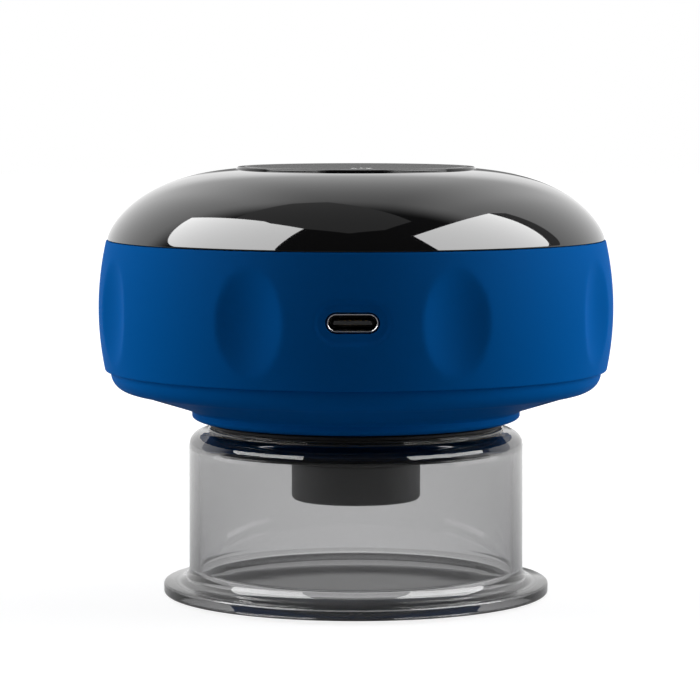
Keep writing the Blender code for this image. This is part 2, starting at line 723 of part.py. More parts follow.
def make_base_cover():
    corner_r = COVER_R - COVER_CORNER_W
    corner_z = COVER_TOP_Z - COVER_EDGE_H
    dish_r = NECK_R + DISH_STEP_W
    seat_r = HEAD_FLANGE_R + GAP
    inner_lip_r = LIP_R - LIP_T
    floor_z = CORNER_BOTTOM_Z + COVER_T
    points = [(LIP_R, SPLIT_Z + LIP_H), (LIP_R, COVER_TOP_Z), (COVER_R, COVER_TOP_Z)]
    points += arc(corner_r, corner_z, COVER_CORNER_W, COVER_CORNER_H, 0, -90, 4)
    points += [(dish_r, DISH_Z), (NECK_R, DISH_Z - DISH_STEP_W * HALF)]
    points += arc(NECK_R - NECK_ROUND_W, NECK_Z, NECK_ROUND_W, NECK_ROUND_H, 0, -90, 3)
    points += [(HOLE_R, NECK_BOTTOM_Z), (HOLE_R, NECK_TOP_Z), (seat_r, NECK_TOP_Z),
               (seat_r, DISH_Z + COVER_T), (inner_lip_r, floor_z), (inner_lip_r, SPLIT_Z + LIP_H)]
    cover = turned("base_cover", points, BLUE)
    for i, angle in enumerate(CHASSIS_SCREW_ANGLES):
        x, y = around(CHASSIS_SCREW_CIRCLE_R, angle)
        join(cover, cylinder(f"chassis_post_{i}", CHASSIS_POST_R, DISH_Z + COVER_T, POST_TOP_Z, x, y))
        cut(cover, screw_hole(f"post_hole_{i}", POST_TOP_Z - CHASSIS_SCREW_L + CHASSIS_T + GAP,
                              POST_TOP_Z + OVERRUN, x, y))
    inner_r = BASE_SCREW_CIRCLE_R - BASE_BOSS_R - SINK
    outer_r = BASE_SCREW_CIRCLE_R + BASE_BOSS_R + SINK
    low_z = DISH_Z + SINK
    slope = DISH_RISE / (corner_r - dish_r)
    room = [(outer_r, BASE_PAD_TOP_Z + OVERRUN), (outer_r, low_z + (outer_r - dish_r) * slope),
            (inner_r, low_z + (inner_r - dish_r) * slope), (inner_r, BASE_PAD_TOP_Z + OVERRUN)]
    for i, angle in enumerate(BASE_SCREW_ANGLES):
        x, y = around(BASE_SCREW_CIRCLE_R, angle)
        pad = cylinder(f"cover_pad_{i}", BASE_BOSS_R, DISH_Z, BASE_PAD_TOP_Z, x, y)
        join(cover, boolean(pad, turned(f"pad_room_{i}", room), "INTERSECT"))
        cut(cover, cylinder(f"cover_pocket_{i}", SCREW_HEAD_R + GAP, DISH_Z - OVERRUN,
                            BASE_POCKET_TOP_Z, x, y))
        cut(cover, screw_hole(f"cover_hole_{i}", BASE_POCKET_TOP_Z - OVERRUN, BASE_PAD_TOP_Z + OVERRUN,
                              x, y))
    for i, angle in enumerate(HEAD_SCREW_ANGLES):
        x, y = around(HEAD_SCREW_CIRCLE_R, angle)
        cut(cover, screw_hole(f"neck_hole_{i}", HEAD_TOP_Z - HEAD_SCREW_L - GAP, NECK_TOP_Z + OVERRUN, x, y))
    return cover


def dent_depth(x, y, z):
    """How far the housing's wall is pressed in at a point, by the soft oval dent nearest to it."""
    pitch = math.tau / DENTS
    angle = math.atan2(y, x)
    offset = (angle - pitch * HALF) % pitch
    offset = min(offset, pitch - offset) * math.hypot(x, y)
    across = offset / (DENT_W * HALF)
    along = (z - DENT_Z) / (DENT_H * HALF)
    share = max(1 - across ** 2 - along ** 2, 0)
    return DENT_DEPTH * share ** 1.5


def make_main_housing():
    row_h = (HOUSING_TOP_Z - HOUSING_BOTTOM_Z) / HOUSING_ROWS
    rows = [HOUSING_BOTTOM_Z + row_h * i for i in range(HOUSING_ROWS + 1)]
    edge = HOUSING_EDGE
    ledge_z = SEAM_Z - SKIRT_H + BEAD_H + GAP / HALF
    inner_top = SKIRT_R + GAP
    points = [(inner_top, HOUSING_TOP_Z), (barrel_radius(HOUSING_TOP_Z) - edge, HOUSING_TOP_Z),
              (barrel_radius(HOUSING_TOP_Z), HOUSING_TOP_Z - edge)]
    points += [(barrel_radius(z), z) for z in reversed(rows[1:-1])]
    points += [(barrel_radius(HOUSING_BOTTOM_Z), HOUSING_BOTTOM_Z + edge),
               (barrel_radius(HOUSING_BOTTOM_Z) - edge, HOUSING_BOTTOM_Z)]
    points.append((barrel_radius(HOUSING_BOTTOM_Z) - HOUSING_WALL, HOUSING_BOTTOM_Z))
    points += [(barrel_radius(z) - HOUSING_WALL, z) for z in rows[1:-1:2] if z < ledge_z - edge]
    points += [(barrel_radius(ledge_z) - HOUSING_WALL, ledge_z), (inner_top, ledge_z)]
    housing = evaluated_copy(turned("main_housing", points, BLUE, HOUSING_STEPS))
    for vertex in housing.data.vertices:
        x, y, z = vertex.co
        radius = math.hypot(x, y)
        share = (radius - dent_depth(x, y, z)) / radius
        vertex.co = (x * share, y * share, z)
    boss_low = BASE_BOSS_Z
    boss_high = BASE_BOSS_Z + BASE_BOSS_H
    rib_z = SPLIT_Z + LIP_H + GAP
    wall_r = barrel_radius(boss_high) - HOUSING_WALL * HALF
    for i, angle in enumerate(BASE_SCREW_ANGLES):
        x, y = around(BASE_SCREW_CIRCLE_R, angle)
        join(housing, cylinder(f"base_boss_{i}", BASE_BOSS_R, boss_low, boss_high, x, y))
        rib = box(f"boss_rib_{i}", (wall_r - BASE_SCREW_CIRCLE_R, BASE_BOSS_R, boss_high - rib_z),
                  ((wall_r + BASE_SCREW_CIRCLE_R) * HALF, 0, (boss_high + rib_z) * HALF))
        rib.matrix_world = Matrix.Rotation(math.radians(angle), 4, "Z")
        join(housing, rib)
    for i, angle in enumerate(BASE_SCREW_ANGLES):
        x, y = around(BASE_SCREW_CIRCLE_R, angle)
        cut(housing, screw_hole(f"boss_hole_{i}", boss_low - OVERRUN,
                                BASE_POCKET_TOP_Z + BASE_SCREW_L + GAP, x, y))
    front = -barrel_radius(PORT_Z)
    rail_top = PORT_Z - USB_H * HALF - GAP - USB_BOARD_T - GAP
    rail_back = front + HOUSING_WALL + USB_BOARD_INSET + USB_BOARD_L * HALF
    for side in (-1, 1):
        low_y = front + HOUSING_WALL * HALF
        join(housing, box(f"port_rail_{side}", (RAIL_W, rail_back - low_y, RAIL_H),
                          (side * (USB_BOARD_W - RAIL_W) * HALF, (rail_back + low_y) * HALF,
                           rail_top - RAIL_H * HALF)))
    cut(housing, obround("port_recess", PORT_RECESS_W, PORT_RECESS_H, front - OVERRUN,
                         front + PORT_RECESS_DEPTH, PORT_Z))
    cut(housing, obround("port_hole", USB_W + USB_SLACK / HALF, USB_H + USB_SLACK / HALF, front - OVERRUN,
                         front + HOUSING_WALL + OVERRUN, PORT_Z))
    return housing


# Charging socket


def port_front():
    return -barrel_radius(PORT_Z) + PORT_RECESS_DEPTH


def make_usb_shell():
    front = port_front()
    shell = obround("usb_shell", USB_W, USB_H, front, front + USB_L, PORT_Z, STEEL)
    hollow = obround("usb_hollow", USB_W - USB_WALL / HALF, USB_H - USB_WALL / HALF, front - OVERRUN,
                     front + USB_L + OVERRUN, PORT_Z)
    return cut(shell, hollow)


def make_usb_tongue():
    back = port_front() + USB_L
    slack = (USB_WALL + SCREW_FIT) / HALF
    block = obround("usb_tongue", USB_W - slack, USB_H - slack, back - TONGUE_BLOCK_L, back, PORT_Z,
                    DARK_GREY)
    front = port_front() + TONGUE_BACK
    blade_end = back - SINK
    return join(block, box("tongue_blade", (TONGUE_W, blade_end - front, TONGUE_T),
                           (0, (blade_end + front) * HALF, PORT_Z)))


def make_usb_board():
    front = -barrel_radius(PORT_Z) + USB_BOARD_INSET
    top = PORT_Z - USB_H * HALF - GAP
    size = (USB_BOARD_W, USB_BOARD_L, USB_BOARD_T)
    return box("usb_board", size, (0, front + USB_BOARD_L * HALF, top - USB_BOARD_T * HALF), BOARD_GREEN)


# Black top


def make_top_dome():
    well_outer = PANEL_R + GAP
    rim = DOME_R
    inner_r = SKIRT_R - SKIRT_T + DOME_WALL * HALF
    inner_h = DOME_H - DOME_WALL
    skirt_low = SEAM_Z - SKIRT_H
    bead = SKIRT_R + BEAD_PROUD
    bead_low = skirt_low + GAP
    points = []
    for i in range(DOME_ROWS + 1):
        turn = math.pi * HALF * i / DOME_ROWS
        r = well_outer + (rim - well_outer) * math.sin(turn)
        points.append((r, SEAM_Z + DOME_LAND + dome_height(r, DOME_R, DOME_H - DOME_LAND)))
    start = SKIRT_R - SKIRT_T
    points += [(rim, SEAM_Z), (SKIRT_R, SEAM_Z), (SKIRT_R, bead_low + BEAD_H),
               (bead, bead_low + BEAD_H * HALF), (SKIRT_R, bead_low), (SKIRT_R, skirt_low),
               (start, skirt_low)]
    for i in range(DOME_INNER_ROWS + 1):
        turn = math.pi * HALF * i / DOME_INNER_ROWS
        r = WELL_OUTER_R + (start - WELL_OUTER_R) * math.cos(turn)
        points.append((r, SEAM_Z + dome_height(r, inner_r, inner_h)))
    points += [(WELL_OUTER_R, WELL_BOTTOM_Z), (WELL_R - WELL_LEDGE_W, WELL_BOTTOM_Z),
               (WELL_R - WELL_LEDGE_W, WELL_BOTTOM_Z + WELL_LEDGE_T), (WELL_R, WELL_BOTTOM_Z + WELL_LEDGE_T),
               (WELL_R, PANEL_SEAT_Z), (well_outer, PANEL_SEAT_Z)]
    dome = turned("top_dome", points, GLOSS_BLACK)
    boss_low = MAIN_BOARD_TOP_Z + GAP
    boss_high = SEAM_Z + dome_height(BOARD_BOSS_CIRCLE_R, inner_r, inner_h) + DOME_WALL * HALF
    for i, angle in enumerate(BOARD_BOSS_ANGLES):
        x, y = around(BOARD_BOSS_CIRCLE_R, angle)
        join(dome, cylinder(f"board_boss_{i}", BOARD_BOSS_R, boss_low, boss_high, x, y))
        cut(dome, screw_hole(f"board_boss_hole_{i}", boss_low - OVERRUN,
                             MAIN_BOARD_Z + BOARD_SCREW_L + GAP, x, y))
    return dome


def make_touch_panel():
    points = [(0, DOME_TOP_Z)]
    for i in range(1, PANEL_ROWS + 1):
        r = (PANEL_R - PANEL_EDGE) * i / PANEL_ROWS
        points.append((r, SEAM_Z + DOME_LAND + dome_height(r, DOME_R, DOME_H - DOME_LAND)))
    edge_z = points[-1][1] - PANEL_EDGE
    points += [(PANEL_R, edge_z), (PANEL_R, PANEL_UNDER_Z), (0, PANEL_UNDER_Z)]
    return turned("touch_panel", points, WINDOW_BLACK)


def make_touch_board():
    points = disc_points(WELL_R - GAP, TOUCH_BOARD_Z, TOUCH_BOARD_TOP_Z)
    return turned("touch_board", points, BOARD_GREEN, PUMP_STEPS)


def make_display_module():
    size = (DISPLAY_W, DISPLAY_D, DISPLAY_T)
    low = TOUCH_BOARD_TOP_Z + SCREW_FIT
    return box("display_module", size, (0, DISPLAY_Y, low + DISPLAY_T * HALF), WHITE)


def make_touch_pads():
    low = TOUCH_BOARD_TOP_Z + SCREW_FIT
    high = PANEL_UNDER_Z - SCREW_FIT
    for i, (x_share, y_share) in enumerate(TOUCH_PAD_PLACE_SHARES):
        cylinder(f"touch_pad_{i + 1}", TOUCH_PAD_R, low, high, WELL_R * x_share, WELL_R * y_share,
                 DARK_GREY, SCREW_STEPS)


def make_main_board():
    board = turned("main_board", disc_points(MAIN_BOARD_R, MAIN_BOARD_Z, MAIN_BOARD_TOP_Z), BOARD_GREEN)
    low = MAIN_BOARD_TOP_Z - SINK
    for name, width, depth, height, shares in (
            ("controller", CHIP_W, CHIP_W, CHIP_H, CHIP_PLACE_SHARES),
            ("charger", CHARGER_W, CHARGER_W, CHIP_H, CHARGER_PLACE_SHARES),
            ("inductor", INDUCTOR_W, INDUCTOR_W, INDUCTOR_H, INDUCTOR_PLACE_SHARES),
            ("cell_socket", SOCKET_W, SOCKET_D, SOCKET_H, CELL_SOCKET_PLACE_SHARES),
            ("pump_socket", SOCKET_W, SOCKET_D, SOCKET_H, PUMP_SOCKET_PLACE_SHARES)):
        place = (MAIN_BOARD_R * shares[0], MAIN_BOARD_R * shares[1], low + (height + SINK) * HALF)
        join(board, box(name, (width, depth, height + SINK), place))
    for i, angle in enumerate(BOARD_BOSS_ANGLES):
        x, y = around(BOARD_BOSS_CIRCLE_R, angle)
        cut(board, screw_hole(f"board_hole_{i}", MAIN_BOARD_Z - OVERRUN, MAIN_BOARD_TOP_Z + OVERRUN, x, y))
    return board


def make_buzzer():
    low = MAIN_BOARD_TOP_Z + SCREW_FIT
    points = [(0, low + BUZZER_H - SINK), (AIR_BORE_R, low + BUZZER_H - SINK), (AIR_BORE_R, low + BUZZER_H),
              (BUZZER_R, low + BUZZER_H), (BUZZER_R, low), (0, low)]
    buzzer = turned("buzzer", points, DARK_GREY, SMALL_STEPS)
    buzzer.location = (*around(WELL_OUTER_R + GAP + BUZZER_R, BUZZER_ANGLE), 0)


# Screws


def make_screw(name, length, x, y, seat_z, up):
    """A pan head screw whose head seats at a height. Its shank points down, or up if asked."""
    points = [(0, SCREW_HEAD_H), (SCREW_HEAD_R, SCREW_HEAD_H), (SCREW_HEAD_R, 0), (SCREW_R, 0),
              (SCREW_R, -length), (0, -length)]
    screw = turned(name, points, STEEL, SCREW_STEPS)
    screw.location = (x, y, seat_z)
    if up:
        screw.rotation_euler = (math.pi, 0, 0)
    return screw


def make_screws():
    for i, angle in enumerate(BASE_SCREW_ANGLES):
        x, y = around(BASE_SCREW_CIRCLE_R, angle)
        make_screw(f"base_screw_{i + 1}", BASE_SCREW_L, x, y, BASE_POCKET_TOP_Z - SCREW_FIT, True)
    for i, angle in enumerate(HEAD_SCREW_ANGLES):
        x, y = around(HEAD_SCREW_CIRCLE_R, angle)
        make_screw(f"head_screw_{i + 1}", HEAD_SCREW_L, x, y, HEAD_TOP_Z + SCREW_FIT, False)
    for i, angle in enumerate(CHASSIS_SCREW_ANGLES):
        x, y = around(CHASSIS_SCREW_CIRCLE_R, angle)
        make_screw(f"chassis_screw_{i + 1}", CHASSIS_SCREW_L, x, y, CHASSIS_TOP_Z + SCREW_FIT, False)
    for i, angle in enumerate(BOARD_BOSS_ANGLES):
        x, y = around(BOARD_BOSS_CIRCLE_R, angle)
        make_screw(f"board_screw_{i + 1}", BOARD_SCREW_L, x, y, MAIN_BOARD_Z - SCREW_FIT, True)


# Chassis and cell


def make_chassis():
    points = ring_points(CHASSIS_R, CHASSIS_HOLE_R, CHASSIS_Z, CHASSIS_TOP_Z)
    chassis = turned("chassis", points, MATT_BLACK)
    low = CHASSIS_TOP_Z - SINK
    cell_x = CELL_L * CELL_SADDLE_SHARE
    for name, x, y, radius, trough in (
            ("motor_saddle", MOTOR_BACK_X + MOTOR_SADDLE_IN, PUMP_Y, MOTOR_R, PUMP_Z),
            ("frame_saddle", FRAME_FRONT_X - FRAME_SADDLE_BACK, PUMP_Y, PUMP_R, PUMP_Z),
            ("cell_saddle_left", -cell_x, CELL_Y, CELL_R, CELL_Z),
            ("cell_saddle_right", cell_x, CELL_Y, CELL_R, CELL_Z)):
        size = (SADDLE_T, radius * SADDLE_WIDTH_SHARE, SADDLE_H + SINK)
        join(chassis, box(name, size, (x, y, low + (SADDLE_H + SINK) * HALF)))
        points = disc_points(radius + GAP, -SADDLE_T, SADDLE_T)
        trough_cut = turned(name + "_trough", points, None, PUMP_STEPS)
        trough_cut.rotation_euler = (0, math.pi * HALF, 0)
        trough_cut.location = (x, y, trough)
        cut(chassis, trough_cut)
    for i, angle in enumerate(CHASSIS_SCREW_ANGLES):
        x, y = around(CHASSIS_SCREW_CIRCLE_R, angle)
        cut(chassis, screw_hole(f"chassis_hole_{i}", CHASSIS_Z - OVERRUN, CHASSIS_TOP_Z + OVERRUN, x, y))
    for i, angle in enumerate(BASE_SCREW_ANGLES):
        x, y = around(BASE_SCREW_CIRCLE_R, angle)
        cut(chassis, cylinder(f"chassis_notch_{i}", BASE_BOSS_R + GAP, CHASSIS_Z - OVERRUN,
                              CHASSIS_TOP_Z + OVERRUN, x, y))
    return chassis


def make_battery_cell():
    points = [(0, CELL_L + CELL_TIP_H), (CELL_TIP_R, CELL_L + CELL_TIP_H), (CELL_TIP_R, CELL_L),
              (CELL_R - SINK, CELL_L), (CELL_R, CELL_L - SINK), (CELL_R, SINK), (CELL_R - SINK, 0), (0, 0)]
    cell = turned("battery_cell", points, CELL_WRAP, PUMP_STEPS)
    cell.rotation_euler = (0, math.pi * HALF, 0)
    cell.location = (-CELL_L * HALF, CELL_Y, CELL_Z)
    return cell


# Pump. Each piece is turned about its own Z, and the pump's empty lays that along X.


def pump_axis():
    axis = bpy.data.objects.new("pump_axis", None)
    PART.objects.link(axis)
    axis.rotation_euler = (0, math.pi * HALF, 0)
    axis.location = (0, PUMP_Y, PUMP_Z)
    return axis


def on_pump(obj):
    obj.parent = bpy.data.objects["pump_axis"]
    return obj


def make_motor():
    cap_front = MOTOR_BACK_X + END_CAP_T
    can_back = cap_front + GAP
    bearing_r = SHAFT_R + SCREW_FIT
    points = [(MOTOR_R, MOTOR_FRONT_X), (MOTOR_R, can_back), (MOTOR_R - MOTOR_WALL, can_back),
              (MOTOR_R - MOTOR_WALL, MOTOR_FRONT_X - MOTOR_WALL), (bearing_r, MOTOR_FRONT_X - MOTOR_WALL),
              (bearing_r, MOTOR_FRONT_X)]
    on_pump(turned("motor_can", points, STEEL, PUMP_STEPS))
    plug_r = MOTOR_R - MOTOR_WALL - GAP
    points = [(plug_r, can_back + MOTOR_WALL), (plug_r, cap_front), (MOTOR_R, cap_front),
              (MOTOR_R, MOTOR_BACK_X), (bearing_r, MOTOR_BACK_X), (bearing_r, can_back + MOTOR_WALL)]
    on_pump(turned("motor_end_cap", points, MATT_BLACK, PUMP_STEPS))
    middle = (MOTOR_FRONT_X - MOTOR_WALL - GAP - CORE_L * HALF - MOTOR_WALL)
    outer = MOTOR_R - MOTOR_WALL - GAP
    for side, name in ((-1, "magnet_upper"), (1, "magnet_lower")):
        low, high = middle - MAGNET_L * HALF, middle + MAGNET_L * HALF
        magnet = turned(name, ring_points(outer, outer - MAGNET_T, low, high), DARK_GREY, PUMP_STEPS)
        keep = box(name + "_keep", (MOTOR_R, MAGNET_SPAN, MAGNET_L / HALF),
                   (side * MOTOR_R * HALF, 0, middle))
        boolean(on_pump(magnet), on_pump(keep), "INTERSECT")
    core_low, core_high = middle - CORE_L * HALF, middle + CORE_L * HALF
    points = [(0, SHAFT_END_X), (SHAFT_R, SHAFT_END_X), (SHAFT_R, core_high), (CORE_R, core_high),
              (CORE_R, core_low), (COMMUTATOR_R, core_low), (COMMUTATOR_R, core_low - COMMUTATOR_L),
              (SHAFT_R, core_low - COMMUTATOR_L), (SHAFT_R, MOTOR_BACK_X - SINK), (0, MOTOR_BACK_X - SINK)]
    armature = on_pump(turned("armature", points, COPPER, PUMP_STEPS))
    for i in range(CORE_POLES):
        x, y = around(CORE_R - CORE_SLOT_R * HALF, 360 * i / CORE_POLES)
        slot = cylinder(f"pole_slot_{i}", CORE_SLOT_R, core_low - OVERRUN, core_high + OVERRUN, x, y,
                        steps=SCREW_STEPS)
        cut(armature, on_pump(slot))


def pin_matrix():
    """The leaning pin's frame in the pump's: its origin is the point that the plate nutates about."""
    return Matrix.Translation((0, 0, NUTATION_X)) @ Matrix.Rotation(PIN_TILT, 4, "Y")


def make_eccentric_hub():
    bore = SHAFT_R + SCREW_FIT
    points = [(0, HUB_FRONT_X), (HUB_R - SINK, HUB_FRONT_X), (HUB_R, HUB_FRONT_X - SINK),
              (HUB_R, HUB_BACK_X), (bore, HUB_BACK_X), (bore, HUB_BORE_X), (0, HUB_BORE_X)]
    hub = on_pump(turned("eccentric_hub", points, WHITE, SMALL_STEPS))
    pin = cylinder("leaning_pin", PIN_R, HUB_FRONT_X - NUTATION_X - SINK, 0, steps=SCREW_STEPS)
    on_pump(pin)
    pin.matrix_local = pin_matrix()
    return join(hub, pin)


def make_wobble_plate():
    bore = PIN_R + SCREW_FIT
    top = -SCREW_FIT
    plate = turned("wobble_plate", ring_points(SLEEVE_R, bore, top - SLEEVE_L, top), WHITE, SMALL_STEPS)
    on_pump(plate)
    plate.matrix_local = pin_matrix()
    high = top - ARM_DROP
    low = high - ARM_T
    for i in range(ARMS):
        x, y = around(ARM_REACH, 360 * i / ARMS)
        arm_length = ARM_REACH - SLEEVE_R + SINK
        arm = box(f"wobble_arm_{i}", (arm_length, ARM_W - ARM_DROP, ARM_T),
                  (ARM_REACH - arm_length * HALF, 0, low + ARM_T * HALF))
        pad = cylinder(f"wobble_pad_{i}", ARM_W * HALF, low - ARM_PAD_PROUD, high + ARM_PAD_PROUD, x, y,
                       steps=SCREW_STEPS)
        hole = cylinder(f"wobble_hole_{i}", ARM_HOLE_R, low - OVERRUN, top + OVERRUN, x, y, steps=SCREW_STEPS)
        on_pump(arm).matrix_local = pin_matrix() @ Matrix.Rotation(math.tau * i / ARMS, 4, "Z")
        on_pump(pad).matrix_local = pin_matrix()
        on_pump(hole).matrix_local = pin_matrix()
        join(plate, arm)
        join(plate, pad)
        cut(plate, hole)
    return plate


def make_pump_frame():
    back = MOTOR_FRONT_X + GAP
    inner = PUMP_R - FRAME_WALL
    points = [(PUMP_R, FRAME_FRONT_X), (PUMP_R, back), (HUB_R + GAP, back),
              (HUB_R + GAP, back + FRAME_BACK_T), (inner, back + FRAME_BACK_T), (inner, FRAME_FRONT_X)]
    return on_pump(turned("pump_frame", points, MATT_BLACK, PUMP_STEPS))


def make_diaphragm():
    low, high = DIAPHRAGM_X, DIAPHRAGM_X + DIAPHRAGM_T
    sheet = on_pump(turned("diaphragm", disc_points(PUMP_R - SINK, low, high), SILICONE, PUMP_STEPS))
    for i in range(ARMS):
        x, y = around(ARM_REACH, 360 * i / ARMS)
        tip = low - STEM_L
        points = [(0, low + SINK), (STEM_R, low + SINK), (STEM_R, tip + STEM_HEAD_T),
                  (STEM_HEAD_R, tip + STEM_HEAD_T), (STEM_R, tip), (0, tip)]
        stem = turned(f"diaphragm_stem_{i}", points, None, SCREW_STEPS)
        stem.location = (x, y, 0)
        join(sheet, on_pump(stem))
    return sheet


def make_valve_plate():
    low, high = VALVE_PLATE_X, VALVE_PLATE_X + VALVE_PLATE_T
    plate = on_pump(turned("valve_plate", disc_points(PUMP_R - SINK, low, high), WHITE, PUMP_STEPS))
    for i in range(ARMS * 2):
        x, y = around(VALVE_PORT_CIRCLE_R, 360 * i / (ARMS * 2))
        port = cylinder(f"valve_port_{i}", VALVE_PORT_R, low - OVERRUN, high + OVERRUN, x, y,
                        steps=SCREW_STEPS)
        cut(plate, on_pump(port))
    return plate


def make_pump_head():
    low, high = PUMP_HEAD_X, PUMP_HEAD_END_X
    inner = PUMP_R - PUMP_CHAMBER_WALL
    points = [(0, high), (PUMP_R - SINK, high), (PUMP_R, high - SINK), (PUMP_R, low), (inner, low),
              (inner, low + PUMP_CHAMBER_L), (0, low + PUMP_CHAMBER_L)]
    head = on_pump(turned("pump_head", points, MATT_BLACK, PUMP_STEPS))
    nozzle = cylinder("pump_nozzle", NOZZLE_R, high - SINK, high + NOZZLE_L, -NOZZLE_UP, steps=SCREW_STEPS)
    bore = cylinder("nozzle_bore", AIR_BORE_R, low + PUMP_CHAMBER_L - OVERRUN, high + NOZZLE_L + OVERRUN,
                    -NOZZLE_UP, steps=SCREW_STEPS)
    join(head, on_pump(nozzle))
    return cut(head, on_pump(bore))


# Release valve


def make_valve_body():
    body = box("valve_body", (VALVE_W, VALVE_D, VALVE_H), (VALVE_X, 0, VALVE_BARB_Z), WHITE)
    seat = cylinder("valve_seat", COIL_BORE_R, PLUNGER_Z - GAP, VALVE_TOP_Z + OVERRUN, VALVE_X)
    face_x = VALVE_X - VALVE_W * HALF
    side = cylinder("side_barb", BARB_R, -SINK, VALVE_BARB_L, steps=SCREW_STEPS)
    turn = Matrix.Rotation(-math.pi * HALF, 4, "Y")
    side.matrix_world = Matrix.Translation((face_x, 0, VALVE_BARB_Z)) @ turn
    front = cylinder("front_barb", BARB_R, -SINK, VALVE_BARB_L, steps=SCREW_STEPS)
    turn = Matrix.Rotation(math.pi * HALF, 4, "X")
    front.matrix_world = Matrix.Translation((VALVE_X, -VALVE_D * HALF, VALVE_BARB_Z)) @ turn
    join(body, side)
    join(body, front)
    bore = cylinder("side_bore", AIR_BORE_R, -VALVE_W * HALF, VALVE_BARB_L + OVERRUN, steps=SCREW_STEPS)
    bore.matrix_world = side.matrix_world
    front_bore = cylinder("front_bore", AIR_BORE_R, -VALVE_D * HALF, VALVE_BARB_L + OVERRUN,
                          steps=SCREW_STEPS)
    front_bore.matrix_world = front.matrix_world
    cut(body, bore)
    cut(body, front_bore)
    return cut(body, seat)


def make_valve_coil():
    points = ring_points(COIL_R, COIL_BORE_R, COIL_Z, COIL_Z + COIL_H)
    coil = turned("valve_coil", points, COPPER, SMALL_STEPS)
    coil.location = (VALVE_X, 0, 0)
    return coil


def make_valve_plunger():
    top = PLUNGER_L
    points = [(0, top), (PLUNGER_R, top), (PLUNGER_R, SINK), (PLUNGER_R - SINK, 0), (0, 0)]
    plunger = turned("valve_plunger", points, STEEL, SMALL_STEPS)
    plunger.location = (VALVE_X, 0, PLUNGER_Z)
    return plunger


def make_valve_yoke():
    yoke = box("valve_yoke", (YOKE_W, YOKE_D, YOKE_H), (VALVE_X, 0, COIL_Z + YOKE_H * HALF), STEEL)
    inside = YOKE_H - YOKE_T + OVERRUN
    hollow = box("yoke_hollow", (YOKE_W - YOKE_T / HALF, YOKE_D + OVERRUN / HALF, inside),
                 (VALVE_X, 0, COIL_Z - OVERRUN + inside * HALF))
    return cut(yoke, hollow)


def make_valve_spring():
    low = PLUNGER_Z + PLUNGER_L + SPRING_WIRE_R + GAP
    high = COIL_Z + YOKE_H - YOKE_T - SPRING_WIRE_R - GAP
    count = SPRING_TURNS * SPRING_TURN_STEPS
    points = []
    for i in range(count + 1):
        turn = math.tau * i / SPRING_TURN_STEPS
        points.append((VALVE_X + VALVE_SPRING_R * math.cos(turn), VALVE_SPRING_R * math.sin(turn),
                       low + (high - low) * i / count))
    return tube("valve_spring", points, SPRING_WIRE_R, STEEL, 1)


# Hoses


def tube(name, points, radius, look, resolution):
    """A round tube with closed ends along a list of points."""
    curve = bpy.data.curves.new(name, "CURVE")
    curve.dimensions = "3D"
    curve.bevel_depth = radius
    curve.bevel_resolution = resolution
    curve.use_fill_caps = True
    spline = curve.splines.new("POLY")
    spline.points.add(len(points) - 1)
    for point, place in zip(spline.points, points):
        point.co = (*place, 1)
    return weld(evaluated_copy(add_object(name, curve, look)))


def smooth_path(places, count):
    """Points spread evenly along a smooth curve through the given places."""
    knots = [Vector(place) for place in places]
    knots = [knots[0] * 2 - knots[1]] + knots + [knots[-1] * 2 - knots[-2]]
    fine = []
    for i in range(1, len(knots) - 2):
        a, b, c, d = knots[i - 1:i + 3]
        for step in range(count):
            t = step / count
            fine.append(((b * 2) + (c - a) * t + (a * 2 - b * 5 + c * 4 - d) * t ** 2
                         + (b * 3 - a - c * 3 + d) * t ** 3) * HALF)
    fine.append(knots[-2])
    lengths = [0]
    for i in range(1, len(fine)):
        lengths.append(lengths[-1] + (fine[i] - fine[i - 1]).length)
    path = []
    k = 0
    for i in range(count):
        want = lengths[-1] * i / (count - 1)
        while k < len(fine) - 2 and lengths[k + 1] < want:
            k += 1
        share = (want - lengths[k]) / (lengths[k + 1] - lengths[k])
        path.append(fine[k].lerp(fine[k + 1], min(share, 1)))
    return path


def make_hose(name, places):
    """A hose whose bore is cut through from end to end."""
    path = smooth_path(places, HOSE_STEPS)
    hose = tube(name, path, HOSE_R, SILICONE, 1)
    lead = (path[0] - path[1]).normalized() * OVERRUN
    tail = (path[-1] - path[-2]).normalized() * OVERRUN
    bore = tube(name + "_bore", [path[0] + lead] + path + [path[-1] + tail], HOSE_BORE_R, None, 1)
    return cut(hose, bore)


